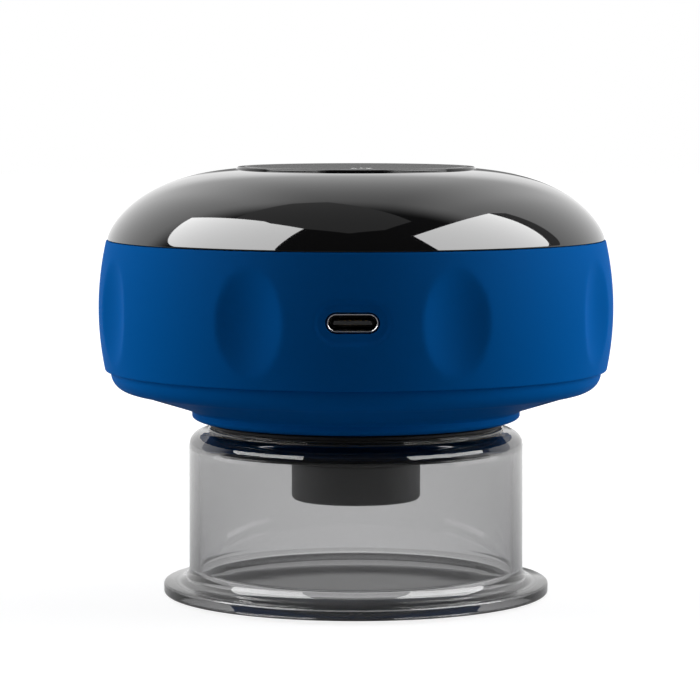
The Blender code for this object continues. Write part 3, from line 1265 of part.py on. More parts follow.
def make_hoses():
    """One hose runs from the suction head to the valve, the other from the pump to the valve."""
    half_r = HOSE_R * HALF
    barb_low = SPIGOT_FLOOR_Z + GAP + GAP
    barb_top = SPIGOT_FLOOR_Z + BARB_H
    valve_x = VALVE_X - VALVE_W * HALF - GAP
    run = valve_x - VALVE_BARB_L
    make_hose("suction_hose", [
        (0, 0, barb_low),
        (0, 0, (barb_low + barb_top) * HALF),
        (0, 0, barb_top),
        (run * HOSE_RISE_SHARE, 0, (barb_top + VALVE_BARB_Z) * HALF + half_r),
        (run * HOSE_BEND_SHARE, 0, VALVE_BARB_Z - SCREW_FIT),
        (run * HOSE_LEVEL_SHARE, 0, VALVE_BARB_Z),
        (run, 0, VALVE_BARB_Z),
        (valve_x, 0, VALVE_BARB_Z)])
    start_x = PUMP_HEAD_END_X + GAP
    nozzle_z = PUMP_Z + NOZZLE_UP
    end_y = -VALVE_D * HALF - GAP
    tip_y = end_y - VALVE_BARB_L
    make_hose("pump_hose", [
        (start_x, PUMP_Y, nozzle_z),
        (start_x + NOZZLE_L * HALF, PUMP_Y, nozzle_z),
        (start_x + NOZZLE_L, PUMP_Y, nozzle_z),
        (VALVE_X - half_r, PUMP_Y - GAP, nozzle_z - HOSE_R - half_r),
        (VALVE_X, PUMP_Y, (nozzle_z + VALVE_BARB_Z) * HALF),
        (VALVE_X, tip_y - half_r, VALVE_BARB_Z + half_r),
        (VALVE_X, tip_y + half_r, VALVE_BARB_Z),
        (VALVE_X, end_y, VALVE_BARB_Z)])


def make_part():
    make_cup()
    make_seal_ring()
    make_neck_gasket()
    make_suction_head()
    make_filter_cap()
    make_filter_sponge()
    make_lamp_guide()
    make_lamp_board()
    make_base_cover()
    make_main_housing()
    make_usb_shell()
    make_usb_tongue()
    make_usb_board()
    make_top_dome()
    make_touch_panel()
    make_touch_board()
    make_display_module()
    make_touch_pads()
    make_main_board()
    make_buzzer()
    make_screws()
    make_chassis()
    make_battery_cell()
    pump_axis()
    make_motor()
    make_eccentric_hub()
    make_wobble_plate()
    make_pump_frame()
    make_diaphragm()
    make_valve_plate()
    make_pump_head()
    make_valve_body()
    make_valve_coil()
    make_valve_plunger()
    make_valve_yoke()
    make_valve_spring()
    make_hoses()


make_part()
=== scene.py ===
# %% [markdown]
# # An electric cupping massager
#
# The object is a palm-sized vacuum pump with a clear cup below it. A glossy black lid closes a
# blue moulded housing with eight finger dents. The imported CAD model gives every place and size,
# so this scene adds only finer surfaces, small fittings and finishes.

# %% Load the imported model
import json
import math
import bmesh
import bpy
import numpy as np
from mathutils import Matrix, Vector

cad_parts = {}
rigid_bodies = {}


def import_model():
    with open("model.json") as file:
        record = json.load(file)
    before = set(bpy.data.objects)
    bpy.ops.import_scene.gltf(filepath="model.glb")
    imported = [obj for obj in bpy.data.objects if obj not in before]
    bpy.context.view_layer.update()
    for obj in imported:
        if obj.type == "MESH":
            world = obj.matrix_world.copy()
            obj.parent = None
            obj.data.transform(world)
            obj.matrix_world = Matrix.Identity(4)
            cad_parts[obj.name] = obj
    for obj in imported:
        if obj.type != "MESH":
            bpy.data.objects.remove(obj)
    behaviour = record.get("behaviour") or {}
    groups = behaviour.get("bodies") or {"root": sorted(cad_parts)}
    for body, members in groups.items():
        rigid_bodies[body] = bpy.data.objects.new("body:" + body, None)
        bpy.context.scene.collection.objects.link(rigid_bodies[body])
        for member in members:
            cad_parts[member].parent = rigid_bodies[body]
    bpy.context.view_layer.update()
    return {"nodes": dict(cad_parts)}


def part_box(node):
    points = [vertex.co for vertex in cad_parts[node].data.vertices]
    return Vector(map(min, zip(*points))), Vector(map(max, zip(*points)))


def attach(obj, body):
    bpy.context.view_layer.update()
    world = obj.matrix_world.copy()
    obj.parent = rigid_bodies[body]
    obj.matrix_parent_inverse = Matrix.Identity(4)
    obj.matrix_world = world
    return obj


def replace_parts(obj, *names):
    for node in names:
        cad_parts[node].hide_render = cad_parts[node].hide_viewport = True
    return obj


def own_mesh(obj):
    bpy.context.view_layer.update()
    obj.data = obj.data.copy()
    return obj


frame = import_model()
NODES = frame["nodes"]
MM = 0.001

# %% [markdown]
# ## Sizes that are read from the model
#
# Shapes are worked out in millimetres and become metres where a mesh is made. A turned part is
# described by radii and heights. They come from the boxes of the CAD nodes, so that the surfaces
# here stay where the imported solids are. Walls, roundings and the barrel's curve are typed in,
# and so are the seams of the shells, which the photograph shows up to 1.3 mm higher.

# %% Sizes
GAP = 0.3


def box(node):
    """The low and the high corner of a CAD node's box."""
    return np.array(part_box(node)) / MM


def low(node):
    return box(node)[0, 2]


def high(node):
    return box(node)[1, 2]


def reach(node):
    """The largest radius of a node that is turned about the vertical axis."""
    return np.abs(box(node)[:, :2]).max()


def centre_of(node):
    """The x and y of the upright line through the middle of a node."""
    return box(node).mean(axis=0)[:2]


BODY_R = 47.4
SEAM_Z = high("main_housing") + GAP
LID_EDGE_Z = SEAM_Z + 0.5
SPLIT_Z = high("base_cover") - 1.6
BODY_MID_Z = (SEAM_Z + SPLIT_Z - 1) / 2
BARREL_RADIUS = 55.0
HOUSING_WALL = 2.0
PORT_Z = box("usb_shell")[:, 2].mean()
PORT_FRONT_Y, SHELL_BACK_Y = box("usb_shell")[:, 1]
print("seam at", round(SEAM_Z, 2), "mm, split at", round(SPLIT_Z, 2), "mm")

# %% [markdown]
# ## Camera
#
# The photograph was taken from a little above the lid with a long lens. The camera stands 620 mm
# from the axis, tilted down by about five degrees, and its lens gives the object the share of
# the frame that it has in the photograph. The socket is seen a little left of the middle, so the
# camera is turned about the axis by less than a degree.

# %% Camera
CAMERA_PLACE = (-1.1, -620, 96.7)
CAMERA_TILT = math.radians(4.78)
CAMERA_TURN = math.radians(0.8)
CAMERA_LENS = 173.1


def placed(name, data):
    """A new object in the scene that shows some data."""
    made = bpy.data.objects.new(name, data)
    bpy.context.scene.collection.objects.link(made)
    return made


camera_data = bpy.data.cameras.new("photo_camera")
camera_data.lens = CAMERA_LENS
camera_data.clip_start = 10 * MM
camera = placed("photo_camera", camera_data)
camera.location = Matrix.Rotation(CAMERA_TURN, 3, "Z") @ Vector(CAMERA_PLACE) * MM
camera.rotation_euler = (math.pi / 2 - CAMERA_TILT, 0, CAMERA_TURN)
bpy.context.scene.camera = camera
print("camera at", [round(v, 3) for v in camera.location], "with a lens of", CAMERA_LENS, "mm")

# %% [markdown]
# ## Profiles and turned surfaces
#
# Nearly every shell here is round, so it is one profile turned about the axis. A profile starts
# as a few corners, each with its own rounding, and the roundings become true arcs. Long straight
# stretches get points in between, which keeps the shading of the roundings from spreading.

# %% Profile helpers
ARC_STEPS = 7
STRAIGHT_STEP = 1.5


def circle(angle):
    """Points of the unit circle: (cos t, sin t) for every angle t."""
    return np.stack([np.cos(angle), np.sin(angle)], axis=-1)


def rounded(corners, closed=True):
    """Points of an outline whose corners (radius, height, rounding) are replaced by arcs.

    An arc touches both sides of its corner. Its centre lies on the line that halves the corner,
    at rounding / sin(half the corner's angle) from it.
    """
    corners = np.array(corners, float)
    places, roundings = corners[:, :2], corners[:, 2]
    count = len(places)
    pieces = []
    for i, here in enumerate(places):
        if roundings[i] == 0 or (not closed and i in (0, count - 1)):
            pieces.append(here[None])
            continue
        sides = np.array([places[i - 1] - here, places[(i + 1) % count] - here])
        sides /= np.linalg.norm(sides, axis=1)[:, None]
        half = math.acos(np.clip(sides[0] @ sides[1], -1, 1)) / 2
        halving = sides.sum(axis=0)
        centre = here + halving / np.linalg.norm(halving) * roundings[i] / math.sin(half)
        ends = here + sides * roundings[i] / math.tan(half) - centre
        angles = np.arctan2(ends[:, 1], ends[:, 0])
        turn = (angles[1] - angles[0] + math.pi) % math.tau - math.pi
        along = angles[0] + turn * np.linspace(0, 1, ARC_STEPS + 1)
        pieces.append(centre + roundings[i] * circle(along))
    return np.concatenate(pieces)


def filled_in(points, closed=True, step=STRAIGHT_STEP):
    """The same outline with points added along every stretch that is longer than a step."""
    ends = np.roll(points, -1, axis=0) if closed else points[1:]
    starts = points if closed else points[:-1]
    counts = np.maximum(np.ceil(np.linalg.norm(ends - starts, axis=1) / step), 1).astype(int)
    owner = np.repeat(np.arange(len(starts)), counts)
    share = (np.arange(counts.sum()) - np.repeat(np.cumsum(counts) - counts, counts)) / counts[owner]
    filled = starts[owner] + (ends - starts)[owner] * share[:, None]
    return filled if closed else np.concatenate([filled, points[-1:]])


print("a rounded corner becomes", ARC_STEPS + 1, "points")

# %% Mesh helpers
SHARP_ANGLE = math.radians(40)
SHELL_STEPS = 256
RING_STEPS = 192


def smooth(mesh):
    """Makes all faces smooth, with sharp edges where the surface turns by more than an angle."""
    mesh.polygons.foreach_set("use_smooth", np.ones(len(mesh.polygons), bool))
    mesh.set_sharp_from_angle(angle=SHARP_ANGLE)


def shape(name, points, faces):
    """An object from arrays of points, in millimetres, and of faces."""
    mesh = bpy.data.meshes.new(name)
    mesh.from_pydata((points * MM).tolist(), [], [face.tolist() for face in faces])
    return placed(name, mesh)


def add_piece(name, points, faces, finish, body="unit"):
    """A shape that is kept: smooth except at sharp edges, in one finish, on a CAD body."""
    piece = shape(name, points, faces)
    piece.data.validate()
    smooth(piece.data)
    piece.data.materials.append(finish)
    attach(piece, body)
    return piece


def modified(piece, kind, **settings):
    """Adds a modifier of a kind, with its settings, to a piece."""
    change = piece.modifiers.new(kind.lower(), kind)
    for name, value in settings.items():
        setattr(change, name, value)
    return piece


def grid_faces(rows, columns, wrap_rows, wrap_columns):
    """Four-sided faces between neighbours on a grid whose points are stored row by row."""
    row = np.arange(rows if wrap_rows else rows - 1)
    column = np.arange(columns if wrap_columns else columns - 1)
    row, column = np.meshgrid(row, column, indexing="ij")
    next_row, next_column = (row + 1) % rows, (column + 1) % columns
    corners = [row * columns + column, next_row * columns + column,
               next_row * columns + next_column, row * columns + next_column]
    return np.stack(corners, axis=-1).reshape(-1, 4)


def turned(profile, steps, closed=True):
    """Points and faces of a profile turned about Z: (r cos t, r sin t, z) for every angle t.

    An open profile starts and ends on the axis, where its points become one pole each. The
    profile's signed area says which way round it runs, and the faces are turned to point out.
    """
    profile = np.asarray(profile, float)
    rows = profile if closed else profile[1:-1]
    angle = np.arange(steps) * math.tau / steps
    points = np.stack([rows[:, :1] * np.cos(angle), rows[:, :1] * np.sin(angle),
                       np.repeat(rows[:, 1:], steps, axis=1)], axis=-1).reshape(-1, 3)
    faces = list(grid_faces(len(rows), steps, closed, True))
    if not closed:
        points = np.concatenate([points, [[0, 0, profile[0, 1]], [0, 0, profile[-1, 1]]]])
        pole, here = len(points) - 2, np.arange(steps)
        beyond = (here + 1) % steps
        last_row = (len(rows) - 1) * steps
        faces += [*np.stack([np.full(steps, pole), here, beyond], axis=1),
                  *np.stack([last_row + beyond, last_row + here, np.full(steps, pole + 1)], axis=1)]
    around = np.roll(profile, -1, axis=0)
    area = (profile[:, 0] * around[:, 1] - around[:, 0] * profile[:, 1]).sum()
    if area > 0:
        faces = [face[::-1] for face in faces]
    return points, faces


def lathe(name, corners, node, finish, closed=True, steps=SHELL_STEPS, body="unit"):
    """A turned piece from rounded corners, which stands for a CAD node."""
    profile = filled_in(rounded(corners, closed), closed)
    piece = add_piece(name, *turned(profile, steps, closed), finish, body)
    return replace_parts(piece, node)


print("edges over", round(math.degrees(SHARP_ANGLE)), "degrees stay sharp")

# %% [markdown]
# ## Finishes
#
# Each finish is one Principled surface. Values that are the same all over stay on the shader's
# own sockets. Grain comes from a noise pattern on the piece's own coordinates, which tilts the
# surface a little and shifts its colour.

# %% Node helper


class Nodes:
    """The nodes of a material or of the world, with short ways to add and fill them."""

    def __init__(self, owner):
        owner.use_nodes = True
        self.tree = owner.node_tree

    def fill(self, node_name, *values, **named):
        """Gives inputs plain values or other nodes' outputs, in order or by name, _ for a space."""
        node = self.tree.nodes[node_name]
        given = list(zip(node.inputs, values))
        given += [(node.inputs[name.replace("_", " ")], value) for name, value in named.items()]
        for socket, value in given:
            if isinstance(value, bpy.types.NodeSocket):
                self.tree.links.new(value, socket)
            else:
                socket.default_value = value
        return node

    def add(self, kind, *values, **named):
        """A new node of a kind, with some of its inputs filled."""
        return self.fill(self.tree.nodes.new("ShaderNode" + kind).name, *values, **named)

    def math(self, operation, *values):
        """One number from outputs and plain numbers."""
        made = self.add("Math", *values)
        made.operation = operation
        return made.outputs[0]

    def eased(self, source, start, end, low_value=0.0, high_value=1.0):
        """A number that goes smoothly from one value to another between two places."""
        made = self.add("MapRange", source, start, end, low_value, high_value)
        made.interpolation_type = "SMOOTHSTEP"
        return made.outputs["Result"]


# %% Finish helpers
TINT_RANGE = (0.3, 0.7)


def surface(name, colour, roughness, **sockets):
    """A Principled surface; a socket's name is given with underscores for its spaces."""
    made = bpy.data.materials.new(name)
    made.diffuse_color = (*colour, 1)
    Nodes(made).fill("Principled BSDF", Base_Color=(*colour, 1), Roughness=roughness, **sockets)
    return made


def grained(name, colour, roughness, size, depth, tint=0.0, stretch=(1, 1, 1), detail=3, **sockets):
    """A surface with noise of a real size, which bumps it and lightens or darkens its colour."""
    made = surface(name, colour, roughness, **sockets)
    nodes = Nodes(made)
    places = nodes.add("Mapping", nodes.add("TexCoord").outputs["Object"], Scale=stretch)
    noise = nodes.add("TexNoise", places.outputs["Vector"], Scale=1 / (size * MM), Detail=detail)
    bump = nodes.add("Bump", Distance=depth * MM, Height=noise.outputs["Fac"])
    nodes.fill("Principled BSDF", Normal=bump.outputs["Normal"])
    if tint:
        ramp = nodes.add("ValToRGB", noise.outputs["Fac"])
        for stop, place, change in zip(ramp.color_ramp.elements, TINT_RANGE, (-tint, tint)):
            stop.position = place
            stop.color = (*(np.array(colour) * (1 + change)), 1)
        nodes.fill("Principled BSDF", Base_Color=ramp.outputs["Color"])
    return made


# %% Finishes of the outer shells
BLUE = grained("soft_touch_blue", (0.0, 0.098, 0.365), 0.55, 0.12, 0.006, 0.04,
               Specular_IOR_Level=0.005)
GLOSS = grained("polished_black", (0.003, 0.003, 0.0035), 0.035, 14, 0.010, Coat_Weight=0.6,
                Coat_Roughness=0.02)
WINDOW = grained("window_black", (0.006, 0.006, 0.0065), 0.10, 0.2, 0.001, Specular_IOR_Level=0.35)
HEAD = grained("moulded_black", (0.01, 0.01, 0.011), 0.18, 0.3, 0.004, 0.05)
CAP = grained("moulded_dark_grey", (0.04, 0.04, 0.042), 0.45, 0.25, 0.01, 0.08)
RUBBER = grained("rubber_black", (0.006, 0.006, 0.007), 0.60, 0.2, 0.006, 0.08,
                 Specular_IOR_Level=0.3)
NICKEL = grained("plated_nickel", (0.62, 0.60, 0.60), 0.22, 0.15, 0.002, 0.05, (1, 0.1, 1),
                 Metallic=1.0)
TONGUE = grained("socket_black", (0.01, 0.01, 0.011), 0.50, 0.2, 0.003, 0.05)
GOLD = grained("contact_gold", (0.75, 0.50, 0.18), 0.25, 0.1, 0.001, 0.05, Metallic=1.0)
STEEL = grained("zinc_plated_steel", (0.55, 0.55, 0.57), 0.30, 0.2, 0.004, 0.08, Metallic=1.0)
SIGN = grained("printed_white", (0.85, 0.85, 0.85), 0.40, 0.1, 0.001, 0.03)
print("finishes so far:", len(bpy.data.materials))

# %% Smoked clear plastic
SMOKE = grained("smoked_clear", (1, 1, 1), 0.02, 12, 0.003, detail=0, Transmission_Weight=1.0,
                IOR=1.52)
SMOKE_DENSITY = 280.0
SMOKE_TINT = (0.03, 0.03, 0.04)
smoke = Nodes(SMOKE)
absorb = smoke.add("VolumeAbsorption", Color=(*SMOKE_TINT, 1), Density=SMOKE_DENSITY)
smoke.fill("Material Output", Volume=absorb.outputs["Volume"])
print("2 mm of it let through", round(math.exp(-SMOKE_DENSITY * (1 - SMOKE_TINT[0]) * 2 * MM), 2))

# %% [markdown]
# ## Cup
#
# The cup is moulded in one piece: a collar that is pushed over the spigot, a round shoulder, a
# straight wall and a wide rim. It is a closed solid with a real wall, because the smoke colour
# comes from how much plastic the light passes. The photograph shows the seam of cup and neck a
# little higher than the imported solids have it, so what meets there is drawn up by that much.

# %% Cup
SEAM_UP = 1.3
CUP_RIM_Z = high("cup") + SEAM_UP
CUP_BORE_R = reach("seal_ring") + GAP
COLLAR_R = CUP_BORE_R + 1.8
FLANGE_R = reach("cup")
CUP_R = FLANGE_R - 4.7
CUP_WALL = 2.0
CUP_INNER_R = CUP_R - CUP_WALL
FLANGE_T = 2.1
FLANGE_SLOPE = 0.6
MOUTH_R = CUP_R + 2.1
MOUTH_H = 4.1
SHOULDER_Z = CUP_RIM_Z - 0.5
CEILING_Z = SHOULDER_Z - CUP_WALL

cup = lathe("clear_cup", [
    (CUP_BORE_R, CUP_RIM_Z, 0.3), (COLLAR_R, CUP_RIM_Z, 0.25), (COLLAR_R, SHOULDER_Z, 0.1),
    (CUP_R, SHOULDER_Z, 2.8), (CUP_R, FLANGE_T + FLANGE_SLOPE, 2.4), (FLANGE_R, FLANGE_T, 0.45),
    (FLANGE_R, 0, 0.5), (MOUTH_R, 0, 1.2), (CUP_INNER_R, MOUTH_H, 2.0),
    (CUP_INNER_R, CEILING_Z, 1.6), (CUP_BORE_R, CEILING_Z, 0.3)],
    "cup", SMOKE, body="cup")
print(cup.name, "has", len(cup.data.polygons), "faces")

# %% [markdown]
# ## Suction head, its rings and the filter cap
#
# The black head closes the neck from below. Its spigot carries the ring that seals the cup, and
# the stub in its middle carries the filter cap. Holes for the six lamps are cut with solid
# tools, as a mould insert would leave them.

# %% Cutting tools


def round_tool(radius, low_z, high_z, x, y, steps=40):
    """A cylinder with an upright axis through (x, y)."""
    profile = [(0, low_z), (radius, low_z), (radius, high_z), (0, high_z)]
    points, faces = turned(profile, steps, closed=False)
    return shape("tool", points + [x, y, 0], faces)


def slab_tool(outline, start, end, axis):
    """A flat outline (two columns) drawn out along one axis between two places."""
    count = len(outline)
    places = np.repeat([start, end], count)
    points = np.insert(np.concatenate([outline, outline]), axis, places, axis=1)
    here = np.arange(count)
    sides = np.stack([here, (here + 1) % count, (here + 1) % count + count, here + count], axis=1)
    return shape("tool", points, [here[::-1], here + count, *sides])


def obround(width, height, steps=16):
    """An outline of two half circles joined by straight lines, around the origin."""
    arc = circle(np.linspace(-math.pi / 2, math.pi / 2, steps + 1)) * height / 2
    shift = np.array([(width - height) / 2, 0])
    return np.concatenate([arc + shift, -arc - shift])


def outward(piece):
    """Turns an object's faces to point out of it."""
    work = bmesh.new()
    work.from_mesh(piece.data)
    bmesh.ops.recalc_face_normals(work, faces=work.faces)
    work.to_mesh(piece.data)
    work.free()
    return piece


def combine(piece, tools, operation):
    """Cuts tools out of a piece, or joins them to it, and keeps only the result."""
    for tool in tools:
        modified(piece, "BOOLEAN", object=outward(tool), operation=operation, solver="EXACT")
    bpy.context.view_layer.update()
    changed = piece.evaluated_get(bpy.context.evaluated_depsgraph_get())
    result = bpy.data.meshes.new_from_object(changed)
    piece.modifiers.clear()
    piece.data = result
    smooth(result)
    for tool in tools:
        bpy.data.objects.remove(tool)
    print(piece.name, "has", len(result.polygons), "faces after", operation.lower())
    return piece


# %% Suction head
HEAD_TOP_Z = high("suction_head")
SPIGOT_Z = high("cup") - 3.1
PLATE_Z = SPIGOT_Z + 2.0
HEAD_FLANGE_Z = HEAD_TOP_Z - 2.0
HEAD_FLANGE_R = reach("suction_head")
SEAL_R = reach("seal_ring")
SPIGOT_R = SEAL_R - 0.6
SPIGOT_INNER_R = SPIGOT_R - 2.0
STUB_Z = low("suction_head")
STUB_R = reach("filter_cap") - 1.7
STUB_BORE_R = STUB_R - 1.3
PIPE_R = 1.5
PIPE_BORE_R = 1.0
PIPE_TOP_Z = PLATE_Z + 5.5
GROOVE_R = SEAL_R - 1.8
GROOVE_LOW_Z, GROOVE_HIGH_Z = low("seal_ring") - GAP, high("seal_ring") + GAP
LAMPS = 6
LAMP_HOLE_R = 2.0
LAMP_RING_R = SPIGOT_INNER_R - 5.1

head = lathe("suction_head_shell", [
    (PIPE_R, PIPE_TOP_Z, 0.2), (PIPE_R, PLATE_Z, 0.3),
    (SPIGOT_INNER_R, PLATE_Z, 0.4), (SPIGOT_INNER_R, HEAD_TOP_Z, 0.2),
    (HEAD_FLANGE_R, HEAD_TOP_Z, 0.2), (HEAD_FLANGE_R, HEAD_FLANGE_Z, 0.2),
    (SPIGOT_R, HEAD_FLANGE_Z, 0.2), (SPIGOT_R, GROOVE_HIGH_Z, 0.1), (GROOVE_R, GROOVE_HIGH_Z, 0.1),
    (GROOVE_R, GROOVE_LOW_Z, 0.1), (SPIGOT_R, GROOVE_LOW_Z, 0.1), (SPIGOT_R, SPIGOT_Z, 0.4),
    (STUB_R, SPIGOT_Z, 0.4), (STUB_R, STUB_Z, 0.3), (STUB_BORE_R, STUB_Z, 0.3),
    (STUB_BORE_R, SPIGOT_Z, 0.3), (PIPE_BORE_R, SPIGOT_Z, 0.1),
    (PIPE_BORE_R, PIPE_TOP_Z, 0.1)],
    "suction_head", HEAD, steps=RING_STEPS)
lamp_places = LAMP_RING_R * circle(np.arange(LAMPS) * math.tau / LAMPS)
combine(head, [round_tool(LAMP_HOLE_R, SPIGOT_Z - 1, PLATE_Z + 1, x, y)
               for x, y in lamp_places], "DIFFERENCE")

# %% Rings


def rubber_ring(name, node, inner_r, up, outer_round, inner_round):
    """A ring around the spigot, drawn up by a distance, with a rounding outside and one inside."""
    outer_r, bottom, top = reach(node), low(node) + up, high(node) + up
    ring = lathe(name, [(outer_r, bottom, outer_round), (outer_r, top, outer_round),
                        (inner_r, top, inner_round), (inner_r, bottom, inner_round)],
                 node, RUBBER, steps=RING_STEPS)
    print(name, "stands at", round(bottom, 1), "mm")


rubber_ring("seal_ring_rubber", "seal_ring", SEAL_R - 1.5, 0, 0.5, 0.2)
rubber_ring("neck_gasket_rubber", "neck_gasket", SPIGOT_R + GAP, SEAM_UP, 0.2, 0.1)

# %% Filter cap
CAP_R = reach("filter_cap")
CAP_Z, CAP_TOP_Z = low("filter_cap"), high("filter_cap")
CAP_WALL = 1.4
CAP_SLOTS = 3
CAP_SLOT = (13.2, 1.6)
cap = lathe("filter_cap_shell", [
    (0, CAP_Z + CAP_WALL, 0), (CAP_R - CAP_WALL, CAP_Z + CAP_WALL, 0.3),
    (CAP_R - CAP_WALL, CAP_TOP_Z, 0.2), (CAP_R, CAP_TOP_Z, 0.3), (CAP_R, CAP_Z, 0.9), (0, CAP_Z, 0)],
    "filter_cap", CAP, closed=False, steps=128, body="filter_cap")
slots = []
for turn in np.arange(CAP_SLOTS) * math.pi / CAP_SLOTS:
    spin = circle(turn + np.array([0, math.pi / 2]))
    slots.append(slab_tool(obround(*CAP_SLOT) @ spin, CAP_Z - 1, CAP_Z + 2, 2))
combine(cap, slots, "DIFFERENCE")

# %% [markdown]
# ## Blue casing
#
# The housing is a barrel. Its wall is one grid over the angle and the height, so the finger dents
# and the soft-edged recess of the charging port are simply depths that are subtracted from the
# radius. Columns and rows stand closer together around the port, where the recess needs them.

# %% Barrel and dents
DENTS = 8
DENT_W = 12.8
DENT_H = 19.0
DENT_Z = BODY_MID_Z + 0.3
DENT_DEPTH = 1.35
DENT_SHAPE = 1.15
PORT_W = 12.8
PORT_H = 7.2
PORT_EDGE = 0.50
PORT_FLOOR_Y = PORT_FRONT_Y - 0.45


def barrel(z):
    """The barrel's radius: largest in the middle, less by height squared over twice its own radius."""
    return BODY_R - (z - BODY_MID_Z) ** 2 / (2 * BARREL_RADIUS)


def dent_depth(angle, radius, z):
    """Depth of the nearest oval dent: (1 - across^2 - along^2) to a power, times its depth."""
    pitch = math.tau / DENTS
    offset = (angle - pitch / 2) % pitch
    offset = np.minimum(offset, pitch - offset) * radius
    share = 1 - (offset / DENT_W * 2) ** 2 - ((z - DENT_Z) / DENT_H * 2) ** 2
    return DENT_DEPTH * np.maximum(share, 0) ** DENT_SHAPE


def port_share(x, z):
    """1 inside the obround recess and 0 outside it, eased over the width of its soft edge."""
    straight = (PORT_W - PORT_H) / 2
    away = np.hypot(np.maximum(np.abs(x) - straight, 0), z - PORT_Z) - PORT_H / 2
    share = np.clip((PORT_EDGE - away) / (2 * PORT_EDGE), 0, 1)
    return share * share * (3 - 2 * share)


print("the barrel narrows to", round(barrel(SEAM_Z), 2), "mm at the lid")

# %% Housing
HOUSING_EDGE = 0.3
HOUSING_LOW, HOUSING_HIGH = SPLIT_Z + 0.02, LID_EDGE_Z - 0.15
INNER_TOP_R = barrel(SEAM_Z) - HOUSING_WALL - 0.2
LEDGE_Z = SEAM_Z - 2.85
INNER_ROWS = 14
PORT_SPAN = (0.16, 4.2)
FINE_STEPS = (0.005, 0.22)
COARSE_STEPS = (0.0125, 0.7)
HOLE_SLACK = 0.45
HOLE_REACH_Y = (-60, -30)
USB_W, USB_H = 8.94, 3.26


def spaced(start, end, centre, span, fine, coarse):
    """Places from start to end that stand closer together within a span of the centre."""
    fine_low, fine_high = centre - span, centre + span
    before = np.linspace(start, fine_low, max(int((fine_low - start) / coarse), 1), endpoint=False)
    within = np.linspace(fine_low, fine_high, int((fine_high - fine_low) / fine), endpoint=False)
    after = np.linspace(fine_high, end, max(int((end - fine_high) / coarse), 1) + 1)
    return np.concatenate([before, within, after])


def housing_grid():
    """Every grid point of the housing wall, up its outside, over the top, inside and below."""
    angle_steps, row_steps = zip(PORT_SPAN, FINE_STEPS, COARSE_STEPS)
    angles = spaced(-math.pi, math.pi, -math.pi / 2, *angle_steps)[:-1]
    rows = spaced(HOUSING_LOW + HOUSING_EDGE, HOUSING_HIGH - HOUSING_EDGE, PORT_Z, *row_steps)
    outer = np.stack([barrel(rows), rows], axis=1)
    top = rounded([(outer[-1, 0], rows[-1], 0), (barrel(HOUSING_HIGH), HOUSING_HIGH, HOUSING_EDGE),
                   (INNER_TOP_R, HOUSING_HIGH, 0)], closed=False)
    inner_rows = np.linspace(LEDGE_Z, HOUSING_LOW, INNER_ROWS)
    inner = np.stack([barrel(inner_rows) - HOUSING_WALL, inner_rows], axis=1)
    bottom = rounded([(inner[-1, 0], HOUSING_LOW, 0), (barrel(HOUSING_LOW), HOUSING_LOW, HOUSING_EDGE),
                      (outer[0, 0], rows[0], 0)], closed=False)
    profile = np.concatenate([outer, top[1:], [[INNER_TOP_R, LEDGE_Z]], inner, bottom[1:-1]])
    radius, angle = np.meshgrid(profile[:, 0], angles, indexing="ij")
    z = np.repeat(profile[:, 1:], len(angles), axis=1)
    radius = radius - dent_depth(angle, radius, z)
    x, y = radius * np.cos(angle), radius * np.sin(angle)
    outside = np.arange(len(profile))[:, None] < len(outer)
    share = np.where(outside & (y < 0), port_share(x, z), 0)
    return np.stack([x, y + (PORT_FLOOR_Y - y) * share, z], axis=-1)


grid = housing_grid()
faces = grid_faces(*grid.shape[:2], True, True)[:, ::-1]
housing = add_piece("housing_shell", grid.reshape(-1, 3), faces, BLUE)
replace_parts(housing, "main_housing")
hole = obround(USB_W + HOLE_SLACK, USB_H + HOLE_SLACK) + [0, PORT_Z]
combine(housing, [slab_tool(hole, *HOLE_REACH_Y, 1)], "DIFFERENCE")

# %% [markdown]
# ## Base cover
#
# The lower shell is turned as well: a rounded outer edge, a shallow dish and a thick neck ring.
# Three pockets for the screws that hold the casing together are cut from below.

# %% Base cover
COVER_TOP_Z = SPLIT_Z - 0.02
COVER_R = reach("base_cover")
COVER_LAND = 0.3
COVER_CORNER = (3.6, 3.5)
COVER_T = 1.6
LIP_TOP_Z = high("base_cover")
LIP_R = barrel(SEAM_Z) - HOUSING_WALL - 0.6
LIP_INNER_R = LIP_R - 1.5
NECK_LOW_Z = low("base_cover") + SEAM_UP
NECK_ROUND = (2.8, 2.4 - SEAM_UP)
NECK_Z = NECK_LOW_Z + NECK_ROUND[1]
NECK_R = HEAD_FLANGE_R - 0.5
NECK_TOP_Z = HEAD_FLANGE_Z - GAP
DISH_Z = NECK_Z + 1.5
DISH_R = NECK_R + 1.3
DISH_STEP = 0.65
CORNER_R = COVER_R - COVER_CORNER[0]
CORNER_Z = COVER_TOP_Z - COVER_LAND - COVER_CORNER[1]
EDGE_STEPS = 14


def oval_arc(r, z, width, height):
    """Corners down a quarter of an oval, from its side to its foot, about radius r and height z."""
    quarter = circle(np.linspace(0, -math.pi / 2, EDGE_STEPS + 1)) * [width, height]
    return [(*place, 0) for place in quarter + [r, z]]


def underside(r):
    """Height of the cover's cone: a straight slope from the neck's foot to the outer corner."""
    return DISH_Z + (CORNER_Z - DISH_Z) * (r - DISH_R) / (CORNER_R - DISH_R)


